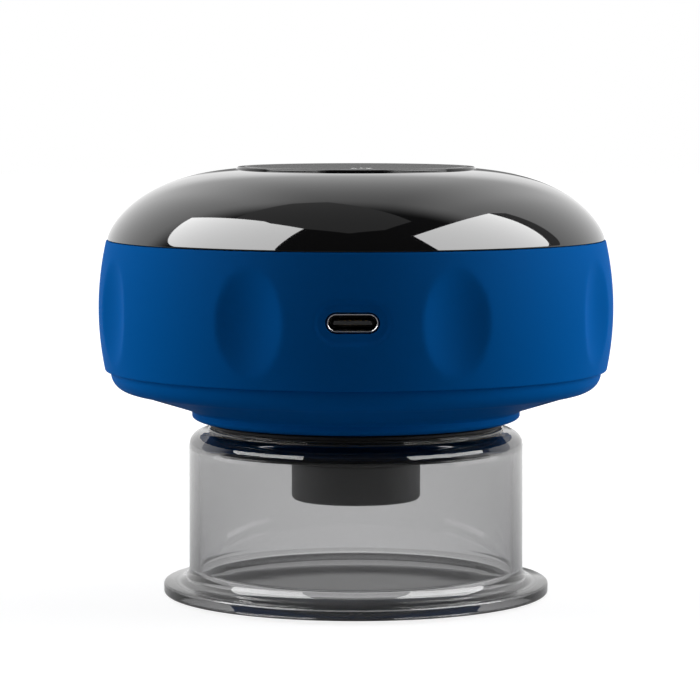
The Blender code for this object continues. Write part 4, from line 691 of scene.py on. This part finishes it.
cover = lathe("base_cover_shell", [
    (LIP_R, LIP_TOP_Z, 0.2), (LIP_R, COVER_TOP_Z, 0), (COVER_R, COVER_TOP_Z, 0.12),
    *oval_arc(CORNER_R, COVER_TOP_Z - COVER_LAND, *COVER_CORNER),
    (DISH_R, DISH_Z, 0.5), (NECK_R, DISH_Z - DISH_STEP, 0.25),
    *oval_arc(NECK_R - NECK_ROUND[0], NECK_Z, *NECK_ROUND),
    (SPIGOT_R + GAP, NECK_LOW_Z, 0.2), (SPIGOT_R + GAP, NECK_TOP_Z, 0.1),
    (HEAD_FLANGE_R + GAP, NECK_TOP_Z, 0.1), (HEAD_FLANGE_R + GAP, DISH_Z + COVER_T, 0.2),
    (LIP_INNER_R, CORNER_Z + COVER_T, 0.3), (LIP_INNER_R, LIP_TOP_Z, 0.2)],
    "base_cover", BLUE)

# %% Screw pads and pockets
SCREW_HEAD_H = 1.3
HEAD_ROOM = 0.2
PAD_R = 3.2
PAD_ABOVE_SEAT = 1.1
PAD_SUNK = 0.5
POCKET_R = 2.2
BORE_R = 1.2
BORE_H = 4
pads, pockets = [], []
for name in [name for name in NODES if name.startswith("base_screw")]:
    x, y = centre_of(name)
    seat = low(name) + SCREW_HEAD_H + HEAD_ROOM
    pad = round_tool(PAD_R, DISH_Z, seat + PAD_ABOVE_SEAT, x, y)
    foot = np.array([v.co for v in pad.data.vertices]) / MM
    down = foot[:, 2] < DISH_Z + GAP
    foot[down, 2] = underside(np.hypot(foot[down, 0], foot[down, 1])) + PAD_SUNK
    pad.data.vertices.foreach_set("co", foot.ravel() * MM)
    pads.append(pad)
    pockets += [round_tool(POCKET_R, DISH_Z - 1, seat, x, y),
                round_tool(BORE_R, seat - 1, seat + BORE_H, x, y, 24)]
combine(cover, pads, "UNION")
combine(cover, pockets, "DIFFERENCE")

# %% [markdown]
# ## Charging socket
#
# A drawn steel shell with round ends, open at the front, around a thin tongue with gold contacts.
# The shell's front edge is rounded, so it catches the thin bright line of the photograph.

# %% Socket shell


def tube_along_y(name, width, height, steps, rows, node, finish):
    """Obround outlines joined into a closed ring along Y. A row gives an outline's inset and its Y."""
    outlines = [np.insert(obround(width - 2 * inset, height - 2 * inset, steps) + [0, PORT_Z], 1, y, 1)
                for inset, y in rows]
    faces = grid_faces(len(rows), len(outlines[0]), True, True)
    piece = add_piece(name, np.concatenate(outlines), faces, finish)
    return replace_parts(piece, node)


SHELL_WALL = 0.28
LIP_STEPS = 8
edge = SHELL_WALL / 2
lip = [edge, PORT_FRONT_Y + edge] - edge * circle(np.linspace(0, math.pi, LIP_STEPS + 1))
shell = tube_along_y("socket_shell", USB_W, USB_H, 20,
                     [(0, SHELL_BACK_Y), *lip, (SHELL_WALL, SHELL_BACK_Y)], "usb_shell", NICKEL)
print("the socket is", USB_W, "by", USB_H, "mm")

# %% Tongue and contacts


def block(name, start, end, finish, round_by=0.0):
    """A box between two corners, with a small rounding on its edges."""
    share = np.array([[(i >> k) & 1 for k in range(3)] for i in range(8)])
    points = np.array(start) + share * np.subtract(end, start)
    faces = np.array([[0, 2, 3, 1], [4, 5, 7, 6], [0, 1, 5, 4], [2, 6, 7, 3], [0, 4, 6, 2], [1, 3, 7, 5]])
    piece = add_piece(name, points, faces, finish)
    if round_by:
        modified(piece, "BEVEL", width=round_by * MM, segments=3)
    return piece


(_, TONGUE_FRONT_Y, _), (TONGUE_REACH_X, TONGUE_BACK_Y, _) = box("usb_tongue")
TONGUE_W = 6.6
TONGUE_T = 0.7
FLOOR_H, FLOOR_T, FLOOR_RING = USB_H - 1.1, 1.4, 1.0
CONTACTS = 6
CONTACT_PITCH = 0.9
CONTACT_W, CONTACT_T, CONTACT_PROUD = 0.32, 0.06, 0.01
tongue = block("socket_tongue", (-TONGUE_W / 2, TONGUE_FRONT_Y, PORT_Z - TONGUE_T / 2),
               (TONGUE_W / 2, TONGUE_BACK_Y - 1, PORT_Z + TONGUE_T / 2), TONGUE, 0.15)
front = TONGUE_BACK_Y - FLOOR_T
socket_floor = tube_along_y("socket_floor", TONGUE_REACH_X * 2, FLOOR_H, 12,
                            [(0, TONGUE_BACK_Y), (0, front), (FLOOR_RING, front),
                             (FLOOR_RING, TONGUE_BACK_Y)], "usb_tongue", TONGUE)
for side in (-1, 1):
    for i in range(CONTACTS):
        x = (i - (CONTACTS - 1) / 2) * CONTACT_PITCH
        z = PORT_Z + side * (TONGUE_T / 2 + CONTACT_PROUD)
        block(f"socket_contact_{'ab'[side > 0]}{i + 1}",
              (x - CONTACT_W / 2, TONGUE_FRONT_Y + 0.5, z - CONTACT_T / 2),
              (x + CONTACT_W / 2, TONGUE_BACK_Y - 1.6, z + CONTACT_T / 2), GOLD)
print("the tongue carries", 2 * CONTACTS, "contacts")

# %% [markdown]
# ## Lid and window
#
# The lid's height over the radius is flat in the middle and falls ever faster towards the edge.
# Points stand at the sine of equal angles, so that they crowd together where it is steep. The
# window is a thin, nearly flat disc in a round well.

# %% Lid
DOME_R = reach("top_dome")
WINDOW_R = reach("touch_panel")
WINDOW_Z = high("touch_panel")
DOME_LAND = 0.6
DOME_HEIGHT = WINDOW_Z - 0.25 - SEAM_Z - DOME_LAND
DOME_BULGE = 4.2
DOME_ROUND = 0.72
DOME_STEPS = 60
DOME_WALL = 2.3
SKIRT_R = DOME_R - 2.2
SKIRT_INNER_R = SKIRT_R - 1.5
SKIRT_LOW_Z = low("top_dome")
SNAP_R = SKIRT_R + 0.65
SNAP_FOOT_Z, SNAP_Z, SNAP_TOP_Z = SKIRT_LOW_Z + 0.3, SKIRT_LOW_Z + 0.7, SKIRT_LOW_Z + 1.1
WELL_R = WINDOW_R + 0.2
RIB_R = WINDOW_R + 2.5
SEAT_R, SHELF_R = WINDOW_R - 1.9, WINDOW_R - 3.3
SEAT_Z, SHELF_Z, RIB_LOW_Z = WINDOW_Z - 2.75, WINDOW_Z - 5.65, WINDOW_Z - 6.45


def dome_z(r, radius=DOME_R):
    """Height of the lid: its full height times (1 - (r / radius)^bulge)^roundness, over the land."""
    share = np.maximum(1 - (np.asarray(r) / radius) ** DOME_BULGE, 0)
    return SEAM_Z + DOME_LAND + DOME_HEIGHT * share ** DOME_ROUND


def dome_corners(inner, outer, drop=0.0, radius=DOME_R, steps=DOME_STEPS):
    """Corners along the lid from one radius to another, lowered by a drop."""
    turn = np.linspace(0, math.pi / 2, steps + 1)
    r = inner + (outer - inner) * np.sin(turn)
    return [(place, z - drop, 0) for place, z in zip(r, dome_z(r, radius))]


under_dome = dome_corners(RIB_R, SKIRT_INNER_R - 0.1, DOME_WALL, SKIRT_R - GAP, 24)[::-1]
lid = lathe("lid_shell", [
    (WELL_R, dome_z(WELL_R), 0.15), *dome_corners(WELL_R + GAP, DOME_R),
    (DOME_R, LID_EDGE_Z, 0.05), (SKIRT_R, LID_EDGE_Z, 0.1), (SKIRT_R, SNAP_TOP_Z, 0),
    (SNAP_R, SNAP_Z, 0.15), (SKIRT_R, SNAP_FOOT_Z, 0), (SKIRT_R, SKIRT_LOW_Z, 0.2),
    (SKIRT_INNER_R, SKIRT_LOW_Z, 0.2), *under_dome, (RIB_R, RIB_LOW_Z, 0),
    (SHELF_R, RIB_LOW_Z, 0.1), (SHELF_R, SHELF_Z, 0.1), (SEAT_R, SHELF_Z, 0.1),
    (SEAT_R, SEAT_Z, 0.1), (WELL_R, SEAT_Z, 0.1)],
    "top_dome", GLOSS)
print(lid.name, "rises", round(DOME_HEIGHT, 2), "mm over its land")

# %% Window
PANE_TOP_Z = WINDOW_Z - 0.2
PANE_LOW_Z = low("touch_panel")
PANE_CROWN = 0.10
PANE_EDGE = 0.30
LINE_R = WINDOW_R - 1.5
LINE_W = 0.12
LINE_DEPTH = 0.04


def pane_z(r):
    """Height of the window: its top less a small crown times (r / radius) squared."""
    return PANE_TOP_Z - PANE_CROWN * (np.asarray(r) / WINDOW_R) ** 2


line = np.array([LINE_R - LINE_W / 2, LINE_R + LINE_W / 2])
window_r = np.concatenate([np.linspace(0, LINE_R - LINE_W, 24), line,
                           np.linspace(LINE_R + LINE_W, WINDOW_R - 2 * PANE_EDGE, 4)])
window_z = pane_z(window_r) - LINE_DEPTH * np.isin(window_r, line)
window = lathe("window_pane", [
    *[(r, z, 0) for r, z in zip(window_r, window_z)],
    (WINDOW_R, pane_z(WINDOW_R), PANE_EDGE), (WINDOW_R, PANE_LOW_Z, 0.1), (0, PANE_LOW_Z, 0)],
    "touch_panel", WINDOW, closed=False)
print(window.name, "has", len(window.data.polygons), "faces")

# %% Key sign
SIGN_X, SIGN_Y = 1.1, -14.0
SIGN_R = 1.65
SIGN_LINE = 0.42
SIGN_LIFT = 0.012
SIGN_GAP = math.radians(70)
BAR_FROM, BAR_TO = 0.35, 2.1
INK = 0.01


def printed(name, across, up):
    """A thin printed shape: a grid of points on the flat, laid on the window just off its surface."""
    x, y = across + SIGN_X, up + SIGN_Y
    points = np.stack([x, y, pane_z(np.hypot(x, y)) + SIGN_LIFT], axis=-1)[:, ::-1]
    faces = grid_faces(*x.shape, False, False)
    piece = add_piece(name, points.reshape(-1, 3), faces, SIGN)
    modified(piece, "SOLIDIFY", thickness=INK * MM, offset=-1)


line_width = np.array([-0.5, 0, 0.5]) * SIGN_LINE
around = np.linspace(math.pi / 2 + SIGN_GAP / 2, 5 * math.pi / 2 - SIGN_GAP / 2, 48)
around, ring_r = np.meshgrid(around, SIGN_R + line_width, indexing="ij")
printed("key_sign_ring", ring_r * np.cos(around), ring_r * np.sin(around))
bar_y, bar_x = np.meshgrid(np.linspace(BAR_FROM, BAR_TO, 8), line_width, indexing="ij")
printed("key_sign_bar", bar_x, bar_y)
print("the key sign is", round(2 * SIGN_R, 1), "mm across")

# %% [markdown]
# ## Screws
#
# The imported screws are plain. These have a domed head with a cross recess, and a thread that is a
# wave in the shank's radius: it follows the height less a share of the turn, so its crest climbs
# by one pitch in each turn.

# %% Screws
SCREW_STEPS = 32
SCREW_DOME = 0.5
SCREW_RIM_Z = 1.15
SCREW_RIM_ROUND = 0.15
SHANK_R = 0.82
THREAD_DEPTH = 0.22
THREAD_PITCH = 0.8
RECESS = (2.1, 0.5)
RECESS_DEPTH = 0.75
TIP_H, TIP_R = 0.7, 0.3
QUARTER_TURN = np.array([[0, 1], [-1, 0]])


def threaded(points, first_z, last_z):
    """Points whose radius is widened by a wave: 1 where height / pitch - turn is whole, else less."""
    x, y, z = points.T
    share = (z / THREAD_PITCH - np.arctan2(y, x) / math.tau) % 1
    wave = np.where((z > first_z) & (z < last_z), np.abs(share - 0.5) * 2, 0)
    widened = 1 + THREAD_DEPTH * wave / np.maximum(np.hypot(x, y), 0.001)
    return np.stack([x * widened, y * widened, z], axis=1)


def screw(node):
    """A pan head screw in the box of its node: its head is below in the base, above elsewhere."""
    low_z, high_z, length = low(node), high(node), high(node) - low(node)
    head_r = np.ptp(box(node)[:, 0]) / 2
    dome = circle(np.linspace(math.pi / 2, 0, 7)) * [head_r, -SCREW_DOME] + [0, SCREW_DOME]
    rim = [(head_r, SCREW_RIM_Z), (head_r - SCREW_RIM_ROUND, SCREW_HEAD_H), (SHANK_R, SCREW_HEAD_H)]
    shank = [(SHANK_R, z) for z in np.arange(SCREW_HEAD_H + 0.1, length - TIP_H, THREAD_PITCH / 8)]
    tip = [(SHANK_R, length - TIP_H), (TIP_R, length), (0, length)]
    profile = np.concatenate([dome, rim, shank, tip])
    face_z, inward = (low_z, 1) if node.startswith("base_screw") else (high_z, -1)
    profile[:, 1] = face_z + inward * profile[:, 1]
    points, faces = turned(profile, SCREW_STEPS, closed=False)
    shank_ends = sorted((profile[len(dome) + len(rim), 1], profile[-len(tip), 1]))
    points = threaded(points, *shank_ends) + [*centre_of(node), 0]
    piece = add_piece(node + "_cut", points, faces, STEEL)
    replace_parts(piece, node)
    long, wide = RECESS[0] / 2, RECESS[1] / 2
    arm = np.array([(long, -wide), (long, wide), (wide, wide)])
    cross = np.concatenate([arm @ np.linalg.matrix_power(QUARTER_TURN, k) for k in range(4)])
    ends = sorted((face_z - inward, face_z + inward * RECESS_DEPTH))
    combine(piece, [slab_tool(cross + centre_of(node), *ends, 2)], "DIFFERENCE")


for name in sorted(NODES):
    if "screw" in name:
        screw(name)

# %% [markdown]
# ## Soft pieces inside
#
# Foam, silicone and rubber have no sharp edges. The round pads and the filter foam are turned
# with soft corners. The hoses and the pump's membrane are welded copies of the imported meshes,
# subdivided or bevelled.

# %% Finishes of the soft pieces
SILICONE = grained("milky_silicone", (0.55, 0.55, 0.52), 0.45, 0.4, 0.01, 0.05,
                   Subsurface_Weight=0.2, Subsurface_Scale=0.002)
FOAM = grained("filter_foam_grey", (0.30, 0.30, 0.30), 0.95, 0.5, 0.35, 0.3, Specular_IOR_Level=0.1)
PAD = grained("contact_foam_black", (0.02, 0.02, 0.021), 0.75, 0.3, 0.05, 0.2)

# %% Turned soft pieces
SOFT_STEPS = 48
SOFT_STEP = 0.5


def soft_disc(name, node, finish, rounding, bulge):
    """A round pad in its node's box, with rounded edges and a side that swells in the middle."""
    radius, bottom, top = np.ptp(box(node)[:, 0]) / 2, low(node), high(node)
    corners = [(0, bottom, 0), (radius, bottom, rounding), (radius, top, rounding), (0, top, 0)]
    profile = filled_in(rounded(corners, closed=False), closed=False, step=SOFT_STEP)
    share = (profile[:, 1] - bottom) / (top - bottom)
    profile[:, 0] *= 1 - bulge + bulge * 4 * share * (1 - share)
    points, faces = turned(profile, SOFT_STEPS, closed=False)
    piece = add_piece(name, points + [*centre_of(node), 0], faces, finish)
    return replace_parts(piece, node)


sponge = soft_disc("filter_foam", "filter_sponge", FOAM, 0.7, 0.03)
for i in range(3):
    pad = soft_disc(f"contact_pad_{i + 1}", f"touch_pad_{i + 1}", PAD, 0.3, 0.06)
    print(pad.name, "has", len(pad.data.polygons), "faces")

# %% Hoses and membrane
WELD = 0.01


def welded_copy(name, node, finish, body="unit"):
    """A new piece with a node's mesh, whose split corners are joined again, smooth all over."""
    work = bmesh.new()
    work.from_mesh(node.data)
    bmesh.ops.remove_doubles(work, verts=work.verts, dist=WELD * MM)
    mesh = bpy.data.meshes.new(name)
    work.to_mesh(mesh)
    work.free()
    mesh.materials.clear()
    mesh.materials.append(finish)
    mesh.polygons.foreach_set("use_smooth", np.ones(len(mesh.polygons), bool))
    piece = placed(name, mesh)
    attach(piece, body)
    return piece


def softened(name, node, kind, **settings):
    """A welded copy of a soft node's mesh, rounded by a modifier."""
    piece = modified(welded_copy(name, NODES[node], SILICONE), kind, **settings)
    print(name, "comes from", len(piece.data.polygons), "faces")
    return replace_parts(piece, node)


softened("suction_hose_soft", "suction_hose", "SUBSURF", levels=2, render_levels=2)
softened("pump_hose_soft", "pump_hose", "SUBSURF", levels=2, render_levels=2)
softened("membrane_soft", "diaphragm", "BEVEL", width=0.15 * MM, segments=3)

# %% [markdown]
# ## Valve spring
#
# The wire is a round tube along a helix.

# %% Valve spring
WIRE_R = 0.2
SPRING_TURNS = 3
TURN_STEPS = 32
WIRE_STEPS = 12


def wound(name, node, finish):
    """A wire wound about Z: each ring of points is spread over the radial and the rising direction."""
    turn = np.linspace(0, SPRING_TURNS * math.tau, SPRING_TURNS * TURN_STEPS + 1)
    coil_r = np.ptp(box(node)[:, 1]) / 2 - WIRE_R
    climb = (high(node) - low(node) - 2 * WIRE_R) / turn[-1]
    radial = np.insert(circle(turn), 2, 0, axis=1)
    ahead = np.insert(coil_r * circle(turn + math.pi / 2), 2, climb, axis=1)
    rising = np.cross(radial, ahead / np.linalg.norm(ahead, axis=1)[:, None])
    path = radial * coil_r + [*centre_of(node), low(node) + WIRE_R]
    path[:, 2] += turn * climb
    ring = np.arange(WIRE_STEPS)
    out, up = circle(ring * math.tau / WIRE_STEPS).T[:, None, :, None] * WIRE_R
    points = path[:, None] + out * radial[:, None] + up * rising[:, None]
    last = (len(turn) - 1) * WIRE_STEPS
    faces = [*grid_faces(len(turn), WIRE_STEPS, False, True), ring, ring[::-1] + last]
    return outward(add_piece(name, points.reshape(-1, 3), faces, finish))


spring = wound("valve_spring_wire", "valve_spring", STEEL)
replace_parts(spring, "valve_spring")
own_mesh(spring)

# %% [markdown]
# ## Pieces inside
#
# The boards, pump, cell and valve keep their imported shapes. Each is shown by a welded copy with
# smooth round sides and small rounded edges, in the finish that such a piece has: green solder
# mask, white and black mouldings, plated steel, copper windings.

# %% Finishes of the inner pieces
MASK = grained("solder_mask", (0.01, 0.11, 0.045), 0.35, 0.6, 0.01, 0.15)
WHITE = grained("moulded_white", (0.70, 0.70, 0.67), 0.45, 0.3, 0.006, 0.04)
BLACK = grained("moulded_black_matt", (0.022, 0.022, 0.023), 0.55, 0.3, 0.008, 0.1)
WRAP = grained("shrink_wrap", (0.03, 0.18, 0.11), 0.28, 3, 0.03, 0.08, Coat_Weight=0.3)
MAGNET = grained("sintered_magnet", (0.09, 0.09, 0.095), 0.55, 0.3, 0.02, 0.2, Metallic=1.0)
COPPER = grained("copper_winding", (0.62, 0.26, 0.11), 0.35, 0.4, 0.05, 0.2, (0.2, 1, 1),
                 Metallic=1.0)
CLEAR = grained("clear_guide", (0.9, 0.9, 0.9), 0.08, 2, 0.004, Transmission_Weight=1.0, IOR=1.49)
SLOT_FINISH = {
    "matte_plastic_solder_mask": MASK, "matte_plastic_moulded": WHITE,
    "matte_plastic_moulded_2": BLACK, "matte_plastic_moulded_black": BLACK,
    "aluminium_shrink_wrap": WRAP, "brushed_steel_sintered": MAGNET,
    "brass_copper_wound": COPPER, "brass_copper_wire": COPPER, "gloss_plastic_clear": CLEAR,
    **{"brushed_steel_" + kind: STEEL for kind in ("plated_2", "turned", "wire")}}
EDGE_ROUND = 0.12


def refined(name, finish):
    """A welded, smooth copy of a node's mesh with rounded edges, on the node's own body."""
    body = NODES[name].parent.name.split(":")[-1]
    piece = welded_copy(name + "_fine", NODES[name], finish, body)
    piece.data.set_sharp_from_angle(angle=SHARP_ANGLE)
    modified(piece, "BEVEL", width=EDGE_ROUND * MM, segments=2, limit_method="ANGLE",
             angle_limit=SHARP_ANGLE, harden_normals=True)
    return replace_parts(piece, name)


plain = []
for name in sorted(NODES):
    node = NODES[name]
    if node.hide_render:
        continue
    slot = node.data.materials[0].name.split(".")[0]
    if slot in SLOT_FINISH:
        refined(name, SLOT_FINISH[slot])
    else:
        plain.append(name)
print("nodes without a finish:", plain)

# %% [markdown]
# ## Light
#
# The photograph is a cut-out on white. The polished lid shows its studio: a white backdrop behind
# and above, a black room in front, a lit panel on each side and a dim card overhead. Each card is
# flat and shows only in mirror-like surfaces, while two plain lamps light the matt ones.

# %% Cards
LID_MIDDLE = np.array([0, -38, 70])
PANEL_AWAY = 700
EDGE_AWAY = 710
OVERHEAD_Z = 800


def card(name, corners, strength):
    """A flat card that gives off white light and is seen only by mirror-like surfaces."""
    finish = bpy.data.materials.new(name)
    nodes = Nodes(finish)
    nodes.tree.nodes.clear()
    nodes.add("OutputMaterial", nodes.add("Emission", Strength=strength).outputs[0])
    made = shape(name, np.array(corners), [np.arange(len(corners))])
    made.data.materials.append(finish)
    made.visible_camera = made.visible_diffuse = False
    made.visible_transmission = made.visible_shadow = False


def across(directions, distance):
    """Where rays from the lid cross the plane at a distance along, and square to, their mean."""
    directions = np.array(directions, float)
    directions /= np.linalg.norm(directions, axis=1)[:, None]
    facing = directions.mean(axis=0)
    facing /= np.linalg.norm(facing)
    return LID_MIDDLE + directions * (distance / (directions @ facing))[:, None]


card("panel_left", across([(-0.955, 0.02, 0.16), (-0.58, 0.44, 0.69), (-0.26, -0.19, 0.95),
                           (-0.58, -0.78, 0.16)], PANEL_AWAY), 7.2)
card("panel_right", across([(0.955, 0.16, 0.14), (0.466, 0.387, 0.796), (0.345, -0.379, 0.858),
                            (0.62, -0.77, 0.14)], PANEL_AWAY), 7.3)
card("panel_right_edge", across([(0.94, 0.30, 0.13), (0.50, 0.46, 0.735), (0.466, 0.387, 0.796),
                                 (0.955, 0.16, 0.14)], EDGE_AWAY), 0.2)
card("overhead", [(x, y, OVERHEAD_Z) for x, y in (
    (199, -53), (126, -248), (-28, -339), (-212, -206), (-444, 146), (-338, 208), (-170, 306),
    (-72, 300))], 0.27)
print("four cards stand round the lid")

# %% Lamps
LAMP_POWER = 5.6
LAMP_SIZE = 700
LAMP_PLACE = (750, 70, 300)
LAMP_TARGET = Vector((0, 0, 50)) * MM
for name, side in (("side_left", -1), ("side_right", 1)):
    data = bpy.data.lights.new(name, "AREA")
    data.shape = "SQUARE"
    data.size = LAMP_SIZE * MM
    data.energy = LAMP_POWER
    light = placed(name, data)
    light.location = Vector((side * LAMP_PLACE[0], *LAMP_PLACE[1:])) * MM
    light.rotation_euler = (LAMP_TARGET - light.location).to_track_quat("-Z", "Y").to_euler()
    light.visible_glossy = False
print("two lamps of", LAMP_POWER, "W light the matt surfaces")

# %% World
DARK_SIDE = 0.042
HIGH_SPAN, HIGH_MIDDLE = (0.22, 0.38), 0.64
SIDE_SPAN = (0.09, 0.32)
BACK_SPAN, BACK_BEND, BACK_LEAN = (0.16, 0.46), 0.35, 0.25
FOOT_UP, FOOT_ACROSS, FOOT_DIMMED = (0.08, 0.11), (0.06, 0.09), 0.8
FEW_BOUNCES = 0.5

world = bpy.data.worlds.new("studio")
bpy.context.scene.world = world
sky = Nodes(world)
sky.tree.nodes.clear()
x, y, z = sky.add("SeparateXYZ", sky.add("TexCoord").outputs["Generated"]).outputs
side = sky.math("ABSOLUTE", x)
high_level = sky.eased(side, *SIDE_SPAN, HIGH_MIDDLE, 1.0)
height = sky.eased(z, *HIGH_SPAN)
lit = sky.math("MULTIPLY_ADD", height, sky.math("SUBTRACT", high_level, 1.0), 1.0)
bend = sky.math("MULTIPLY_ADD", x, sky.math("MULTIPLY_ADD", x, BACK_BEND, BACK_LEAN), y)
behind = sky.eased(bend, *BACK_SPAN)
level = sky.math("MULTIPLY_ADD", behind, sky.math("SUBTRACT", lit, DARK_SIDE), DARK_SIDE)
foot = sky.math("MULTIPLY", sky.eased(z, *FOOT_UP, 1.0, 0.0),
                sky.eased(side, *FOOT_ACROSS, FOOT_DIMMED, 0.0))
level = sky.math("MULTIPLY", level, sky.math("SUBTRACT", 1.0, foot))
rays = sky.add("LightPath").outputs
bounces = sky.math("ADD", rays["Diffuse Depth"], rays["Glossy Depth"])
straight = sky.math("LESS_THAN", bounces, FEW_BOUNCES)
seen_through = sky.math("MULTIPLY", straight, rays["Is Transmission Ray"])
clear = sky.math("MAXIMUM", rays["Is Camera Ray"], seen_through)
background = sky.add("Background", (1, 1, 1, 1), sky.math("MAXIMUM", level, clear))
sky.add("OutputWorld", background.outputs[0])
print("the world has", len(world.node_tree.nodes), "nodes")

# %% [markdown]
# ## Floor
#
# The floor is pale and keeps the object's shadow. Seen directly it glows up to white away from
# the object. Seen through the clear cup it carries a painted shadow: its glow is dim in the back
# half of the cup's mouth and darkest below the rim, where the two nearly touch. In mirror-like
# surfaces it is dark in front, as the room there is dark. It is one sheet that is clear from
# below, so that the object's underside can be looked at. The spans below are in metres, as a
# shader reads them.

# %% Floor
FLOOR_R, FLOOR_Z, FLOOR_STEPS = 2500, -0.6, 96
OPEN_SPAN, OPEN_GLOW = (0.1, 0.4), 0.80
# Painted shadow: seen through the cup, the floor's glow falls low in the cup's mouth and nearly to
# nothing under its rim.
MOUTH_SPAN, MOUTH_BACK_SPAN, MOUTH_SHADOW_GLOW = (0.022, 0.030), (-0.004, 0.008), 0.21
RIM_SHADOW_SPAN, RIM_SHADOW_GLOW = (0.055, 0.060), 0.01
MIRROR_SPAN, MIRROR_GLOW = (-0.2, 0.3), (0.05, 0.9)

around = np.arange(FLOOR_STEPS)
corners = FLOOR_R * circle(around * math.tau / FLOOR_STEPS)
floor = shape("floor", np.insert(corners, 2, FLOOR_Z, axis=1), [around])
floor_finish = surface("floor_white", (0.35, 0.35, 0.35), 0.9, Specular_IOR_Level=0.0)
floor.data.materials.append(floor_finish)
ground = Nodes(floor_finish)
places = ground.add("TexCoord").outputs["Object"]
measure = ground.add("VectorMath", places)
measure.operation = "LENGTH"
away = measure.outputs["Value"]
back = ground.add("SeparateXYZ", places).outputs["Y"]
rays = ground.add("LightPath").outputs
near = ground.eased(away, *OPEN_SPAN, OPEN_GLOW, 1.0)
# Painted shadow under the cup, seen only through it: dim in the back of the mouth, darkest under the rim.
shadowed_mouth_glow = ground.math("MULTIPLY", ground.eased(away, *MOUTH_SPAN, MOUTH_SHADOW_GLOW, 0.0),
                       ground.eased(back, *MOUTH_BACK_SPAN))
seen_through = ground.math("ADD", shadowed_mouth_glow, ground.eased(away, *RIM_SHADOW_SPAN, RIM_SHADOW_GLOW, 1.0))
mirrored = ground.eased(back, *MIRROR_SPAN, *MIRROR_GLOW)
no_matt = ground.math("LESS_THAN", rays["Diffuse Depth"], FEW_BOUNCES)
no_mirror = ground.math("LESS_THAN", rays["Glossy Depth"], FEW_BOUNCES)
straight = ground.math("MULTIPLY", no_matt, no_mirror)
through = ground.math("MULTIPLY", straight, rays["Is Transmission Ray"])
only_mirrored = ground.math("MULTIPLY", no_matt, ground.math("SUBTRACT", 1.0, no_mirror))
glow = ground.math("MAXIMUM", ground.math("MULTIPLY", near, rays["Is Camera Ray"]),
                   ground.math("MAXIMUM", ground.math("MULTIPLY", seen_through, through),
                               ground.math("MULTIPLY", mirrored, only_mirrored)))
lit_floor = ground.fill("Principled BSDF", Emission_Color=(1, 1, 1, 1), Emission_Strength=glow)
below = ground.add("NewGeometry").outputs["Backfacing"]
from_below = ground.add("MixShader", below, lit_floor.outputs[0],
                        ground.add("BsdfTransparent").outputs[0])
ground.fill("Material Output", from_below.outputs[0])
print("the floor is", 2 * FLOOR_R * MM, "m across")

bpy.context.scene.view_settings.view_transform = "Standard"
